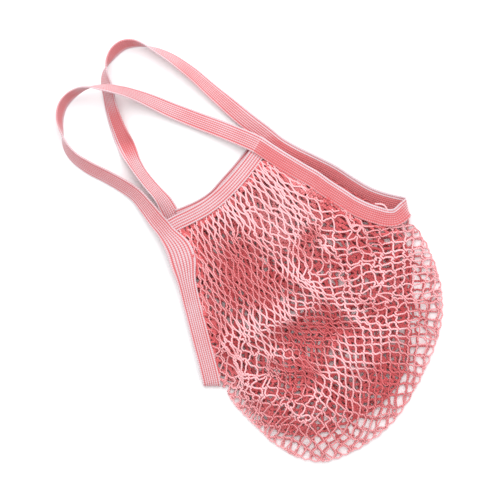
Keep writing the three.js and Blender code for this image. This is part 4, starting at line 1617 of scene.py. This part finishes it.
@dataclass(frozen=True)
class CottonFinish:
    """A dyed cotton finish.

    Args:
        name: The material's name.
        light: Colour of the yarn where no shade is painted, the light end of the knit's tone.
        painted_shade: Colour of the yarn under full painted shade, also the dark end of the knit's
            tone.
        pitch: Length of one stitch along the yarn, in metres.
        wale: Width of one stitch, in the units of the second surface coordinate.
        relief: Depth of the stitches, in metres.
        relief_strength: How much of the stitches' relief the light sees.
        groove_shade: How strongly the groove mark darkens the colour, as painted shade in the
            knit's grooves.
        roughness: Roughness of the yarn.
        specular: Strength of its plain shine.
        sheen: Strength of its fuzz's sheen.
        sheen_roughness: Roughness of that sheen.
    """

    name: str
    light: Colour
    painted_shade: Colour
    pitch: float
    wale: float
    relief: float
    relief_strength: float = 1.0
    groove_shade: float = 1.0
    roughness: float = 0.85
    specular: float = 0.25
    sheen: float = 0.25
    sheen_roughness: float = 0.5

    def material(self) -> bpy.types.Material:
        """Builds the material's nodes.

        Returns:
            The material.
        """
        made = bpy.data.materials.new(self.name)
        made.use_nodes = True
        nodes, links = made.node_tree.nodes, made.node_tree.links
        shader = nodes["Principled BSDF"]
        shader.inputs["Roughness"].default_value = self.roughness
        shader.inputs["Specular IOR Level"].default_value = self.specular
        shader.inputs["Sheen Weight"].default_value = self.sheen
        shader.inputs["Sheen Roughness"].default_value = self.sheen_roughness
        way = nodes.new("ShaderNodeUVMap")
        way.uv_map = "thread_way"
        knit = nodes.new("ShaderNodeGroup")
        knit.node_tree = KnitPattern().group()
        knit.inputs["Pitch"].default_value = self.pitch
        knit.inputs["Wale"].default_value = self.wale
        links.new(way.outputs["UV"], knit.inputs["Way"])
        colour = nodes.new("ShaderNodeMix")
        colour.data_type = "RGBA"
        colour.inputs["A"].default_value = (*self.painted_shade, 1)
        colour.inputs["B"].default_value = (*self.light, 1)
        # Painted shade: the shade mark and the groove mark take the yarn's tone down towards its
        # shade colour.
        marks = []
        for label in ("painted_shade", "groove"):
            mark = nodes.new("ShaderNodeAttribute")
            mark.attribute_name = label
            marks.append(mark.outputs["Fac"])
        # Painted shade in the grooves, from the groove mark.
        groove_painted_shade = math_node(nodes, links, "MULTIPLY", marks[1], self.groove_shade)
        shade = math_node(nodes, links, "ADD", marks[0], groove_painted_shade)
        tone = math_node(nodes, links, "SUBTRACT", knit.outputs["Tone"], shade)
        tone.node.use_clamp = True
        links.new(tone, colour.inputs["Factor"])
        links.new(colour.outputs["Result"], shader.inputs["Base Color"])
        bump = nodes.new("ShaderNodeBump")
        bump.inputs["Strength"].default_value = self.relief_strength
        bump.inputs["Distance"].default_value = self.relief
        links.new(knit.outputs["Height"], bump.inputs["Height"])
        links.new(bump.outputs["Normal"], shader.inputs["Normal"])
        return made


def math_node(
    nodes: bpy.types.Nodes,
    links: bpy.types.NodeLinks,
    operation: str,
    first: bpy.types.NodeSocket | float,
    second: bpy.types.NodeSocket | float | None = None,
) -> bpy.types.NodeSocket:
    """Adds one Math node and returns its output.

    Args:
        nodes: The tree's nodes.
        links: The tree's links.
        operation: Its operation.
        first: Its first input.
        second: Its second input, if it has one.

    Returns:
        Its output.
    """
    node = nodes.new("ShaderNodeMath")
    node.operation = operation
    for i, value in enumerate((first, second)):
        if value is None:
            continue
        if isinstance(value, (int, float)):
            node.inputs[i].default_value = value
        else:
            links.new(value, node.inputs[i])
    return node.outputs[0]


@dataclass(frozen=True)
class KnitPattern:
    """Stitches of knitted yarn along the surface coordinates.

    Args:
        vee: How far the stitches slant into a V, in stitches.
        fuzz_scale: Scale of the yarn's fuzz.
        fuzz_detail: Its detail.
        cloud_scale: Scale of the dye's slow changes.
        stitch_height: Share of the stitches in the height.
        fuzz_height: Share of the fuzz in the height.
        stitch_tone: Share of the stitches in the tone.
        cloud_tone: Share of the dye's changes in the tone.
        base_tone: Tone that is added everywhere.
    """

    vee: float = 0.45
    fuzz_scale: float = 900
    fuzz_detail: float = 2
    cloud_scale: float = 38
    stitch_height: float = 0.8
    fuzz_height: float = 0.35
    stitch_tone: float = 0.55
    cloud_tone: float = 0.5
    base_tone: float = 0.3

    def group(self) -> bpy.types.NodeTree:
        """Group of nodes that all finishes share.

        Returns:
            The group, made once.
        """
        known = bpy.data.node_groups.get("knit_stitches")
        if known:
            return known
        group = bpy.data.node_groups.new("knit_stitches", "ShaderNodeTree")
        for name, in_out, kind in (
            ("Way", "INPUT", "NodeSocketVector"),
            ("Pitch", "INPUT", "NodeSocketFloat"),
            ("Wale", "INPUT", "NodeSocketFloat"),
            ("Tone", "OUTPUT", "NodeSocketFloat"),
            ("Height", "OUTPUT", "NodeSocketFloat"),
        ):
            group.interface.new_socket(name, in_out=in_out, socket_type=kind)
        nodes, links = group.nodes, group.links

        def put(
            operation: str,
            first: bpy.types.NodeSocket | float,
            second: bpy.types.NodeSocket | float | None = None,
        ) -> bpy.types.NodeSocket:
            """Adds one Math node to the group."""
            return math_node(nodes, links, operation, first, second)

        given = nodes.new("NodeGroupInput")
        out = nodes.new("NodeGroupOutput")
        split = nodes.new("ShaderNodeSeparateXYZ")
        links.new(given.outputs["Way"], split.inputs[0])
        along = put("DIVIDE", split.outputs[0], given.outputs["Pitch"])
        across = put("DIVIDE", split.outputs[1], given.outputs["Wale"])
        vee = put("ABSOLUTE", put("SINE", put("MULTIPLY", across, math.pi)))
        phase = put("ADD", along, put("MULTIPLY", vee, self.vee))
        stitch = put("ABSOLUTE", put("SINE", put("MULTIPLY", phase, math.pi)))
        fuzz = nodes.new("ShaderNodeTexNoise")
        fuzz.inputs["Scale"].default_value = self.fuzz_scale
        fuzz.inputs["Detail"].default_value = self.fuzz_detail
        links.new(given.outputs["Way"], fuzz.inputs["Vector"])
        raised = put("MULTIPLY", stitch, self.stitch_height)
        height = put("ADD", raised, put("MULTIPLY", fuzz.outputs["Fac"], self.fuzz_height))
        body = nodes.new("ShaderNodeTexCoord")
        cloud = nodes.new("ShaderNodeTexNoise")
        cloud.inputs["Scale"].default_value = self.cloud_scale
        links.new(body.outputs["Object"], cloud.inputs["Vector"])
        lit = put("MULTIPLY", stitch, self.stitch_tone)
        tone = put("ADD", lit, put("MULTIPLY", cloud.outputs["Fac"], self.cloud_tone))
        links.new(put("ADD", tone, self.base_tone), out.inputs["Tone"])
        links.new(height, out.inputs["Height"])
        return group


# Cotton finishes: light is the yarn's colour without painted shade, deep its colour under full
# painted shade.
NET_COTTON = CottonFinish(
    name="net_cotton_thread",
    light=(0.95, 0.55, 0.58),
    painted_shade=(0.62, 0.095, 0.105),
    pitch=0.0022,
    wale=3.0,
    relief=0.0004,
)
TAPE_COTTON = CottonFinish(
    name="ribbed_tape_cotton",
    light=(0.68, 0.515, 0.555),
    painted_shade=(0.62, 0.135, 0.145),
    pitch=0.0026,
    wale=0.0022,
    relief=0.0005,
    groove_shade=1.25,
)


@dataclass
class Studio:
    """Plain pale floor, soft light and a camera that looks straight down.

    Args:
        turn: Degrees that the bag's long side is turned in the picture.
        height: Height of the camera above the floor, in metres.
        lens: Its focal length.
        sensor: Width of its sensor.
        floor_size: Side of the floor, in metres.
        floor_gap: Way from the bag's underside down to the floor, in metres.
        floor_colour: Colour of the floor.
        floor_roughness: Its roughness.
        floor_specular: Strength of its shine.
        fill: Strength of the even light from all around.
        key_away: Distance of the soft light from the bag, seen from above, in metres.
        key_height: Its height, in metres.
        key_size: Its side, in metres.
        key_power: Its power, in watts.
    """

    turn: float = 40.0
    height: float = 2.8
    lens: float = 161.3
    sensor: float = 36
    floor_size: float = 6
    floor_gap: float = 0.0002
    floor_colour: Colour = (0.93, 0.93, 0.94)
    floor_roughness: float = 0.9
    floor_specular: float = 0.1
    fill: float = 0.92
    key_away: float = 1.0
    key_height: float = 1.4
    key_size: float = 2.0
    key_power: float = 31

    def build(self) -> None:
        """Makes the floor, the light and the camera."""
        bpy.ops.object.select_all(action="DESELECT")
        bpy.ops.mesh.primitive_plane_add(size=self.floor_size, location=(0, 0, -self.floor_gap))
        floor = bpy.context.object
        floor.name = "studio_floor"
        paper = bpy.data.materials.new("pale_floor")
        paper.use_nodes = True
        shader = paper.node_tree.nodes["Principled BSDF"]
        shader.inputs["Base Color"].default_value = (*self.floor_colour, 1)
        shader.inputs["Roughness"].default_value = self.floor_roughness
        shader.inputs["Specular IOR Level"].default_value = self.floor_specular
        floor.data.materials.append(paper)
        world = bpy.data.worlds.new("studio_fill")
        world.use_nodes = True
        world.node_tree.nodes["Background"].inputs[0].default_value = (1, 1, 1, 1)
        world.node_tree.nodes["Background"].inputs[1].default_value = self.fill
        bpy.context.scene.world = world
        self.softbox("key_light")
        camera = bpy.data.cameras.new("studio_camera")
        camera.lens = self.lens
        camera.sensor_width = self.sensor
        holder = bpy.data.objects.new("studio_camera", camera)
        bpy.context.scene.collection.objects.link(holder)
        holder.location = (FRAME_SHIFT[0] * MM, FRAME_SHIFT[1] * MM, self.height)
        holder.rotation_euler = (0, 0, -math.radians(self.turn))
        bpy.context.scene.camera = holder
        bpy.context.scene.view_settings.view_transform = "Standard"

    def softbox(self, name: str) -> None:
        """Adds the square soft light, which faces the bag from the picture's upper side.

        Args:
            name: Its name.
        """
        light = bpy.data.lights.new(name, "AREA")
        light.shape = "SQUARE"
        light.size = self.key_size
        light.energy = self.key_power
        holder = bpy.data.objects.new(name, light)
        bpy.context.scene.collection.objects.link(holder)
        angle = math.radians(90 - self.turn)
        x, y = math.cos(angle) * self.key_away, math.sin(angle) * self.key_away
        holder.location = (x, y, self.key_height)
        tilt = math.atan2(math.hypot(x, y), self.key_height)
        holder.rotation_euler = (tilt, 0, math.atan2(-y, -x) - math.pi / 2)


@dataclass
class StringBag:
    """The whole bag: net, neck tapes and long tape.

    Args:
        route: Course of the long tape.
        loop_waver: Depth of the slow waver of the long tape's edges.
        neck_waver: Depth of that of the neck tapes' edges.
        neck_ribs: Number of the neck tapes' ribs.
        neck_steps: Frames from one point of a neck tape's line to the next.
    """

    route: LongTapeRoute = field(default_factory=LongTapeRoute)
    loop_waver: float = 0.25
    neck_waver: float = 0.1
    neck_ribs: int = 4
    neck_steps: int = 9

    def long_tape(self) -> bpy.types.Object:
        """The ring of tape with both hand loops.

        Returns:
            The piece.
        """
        maker = RibbedTape("handle_tape_ribbed", TAPE_WIDTH, True)
        frames = self.route.frames(self.route.even(maker.step))
        obj = maker.build(frames, self.loop_waver)
        obj.data.materials.append(TAPE_COTTON.material())
        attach(obj, "root")
        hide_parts("handle_tape")
        flat = (TAPE_WIDTH * MM, self.route.length() * MM)
        return obj

    def neck_tape(
        self, name: str, rows: tuple[Point, ...], sign: int, node: str
    ) -> bpy.types.Object:
        """One of the two neck tapes.

        Args:
            name: The piece's name.
            rows: Points along its middle line.
            sign: 1 where its face looks up, -1 where it looks down.
            node: The solid that it stands for.

        Returns:
            The piece.
        """
        maker = RibbedTape(name, NECK_TAPE_WIDTH, False, ribs=self.neck_ribs)
        frames = neck_frames(np.array(rows), self.neck_steps, sign)
        obj = maker.build(frames, self.neck_waver)
        obj.data.materials.append(TAPE_COTTON.material())
        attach(obj, "root")
        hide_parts(node)
        return obj

    def net(self) -> list[bpy.types.Object]:
        """All threads of the net, each layer in two pieces.

        Returns:
            The pieces.
        """
        maker = KnottedNet(self.route)
        finish = NET_COTTON.material()
        made = []
        for layer in Layer:
            threads = maker.wales(layer)
            if layer is not Layer.BACK:
                threads += maker.edge_threads(layer, threads)
            if layer is Layer.FRONT:
                threads.append(np.array(LOOSE_THREAD))
            half = len(threads) // 2
            for part, run in (("left", threads[:half]), ("right", threads[half:])):
                obj = maker.tubes(f"net_{layer.value}_{part}", layer, run)
                obj.data.materials.append(finish)
                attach(obj, "root")
                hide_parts("net_sack")
                made.append(obj)
        return made


def main() -> None:
    """Builds the bag and the studio."""
    logging.basicConfig(level=logging.INFO)
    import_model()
    Studio().build()
    bag = StringBag()
    pieces = [
        bag.long_tape(),
        bag.neck_tape("front_neck_ribbed", FRONT_NECK, 1, "front_neck_tape"),
        bag.neck_tape("back_neck_ribbed", BACK_NECK, -1, "back_neck_tape"),
        *bag.net(),
    ]
    for piece in pieces:
        LOG.info("%s: %d faces", piece.name, len(piece.data.polygons))


if __name__ == "__main__":
    main()
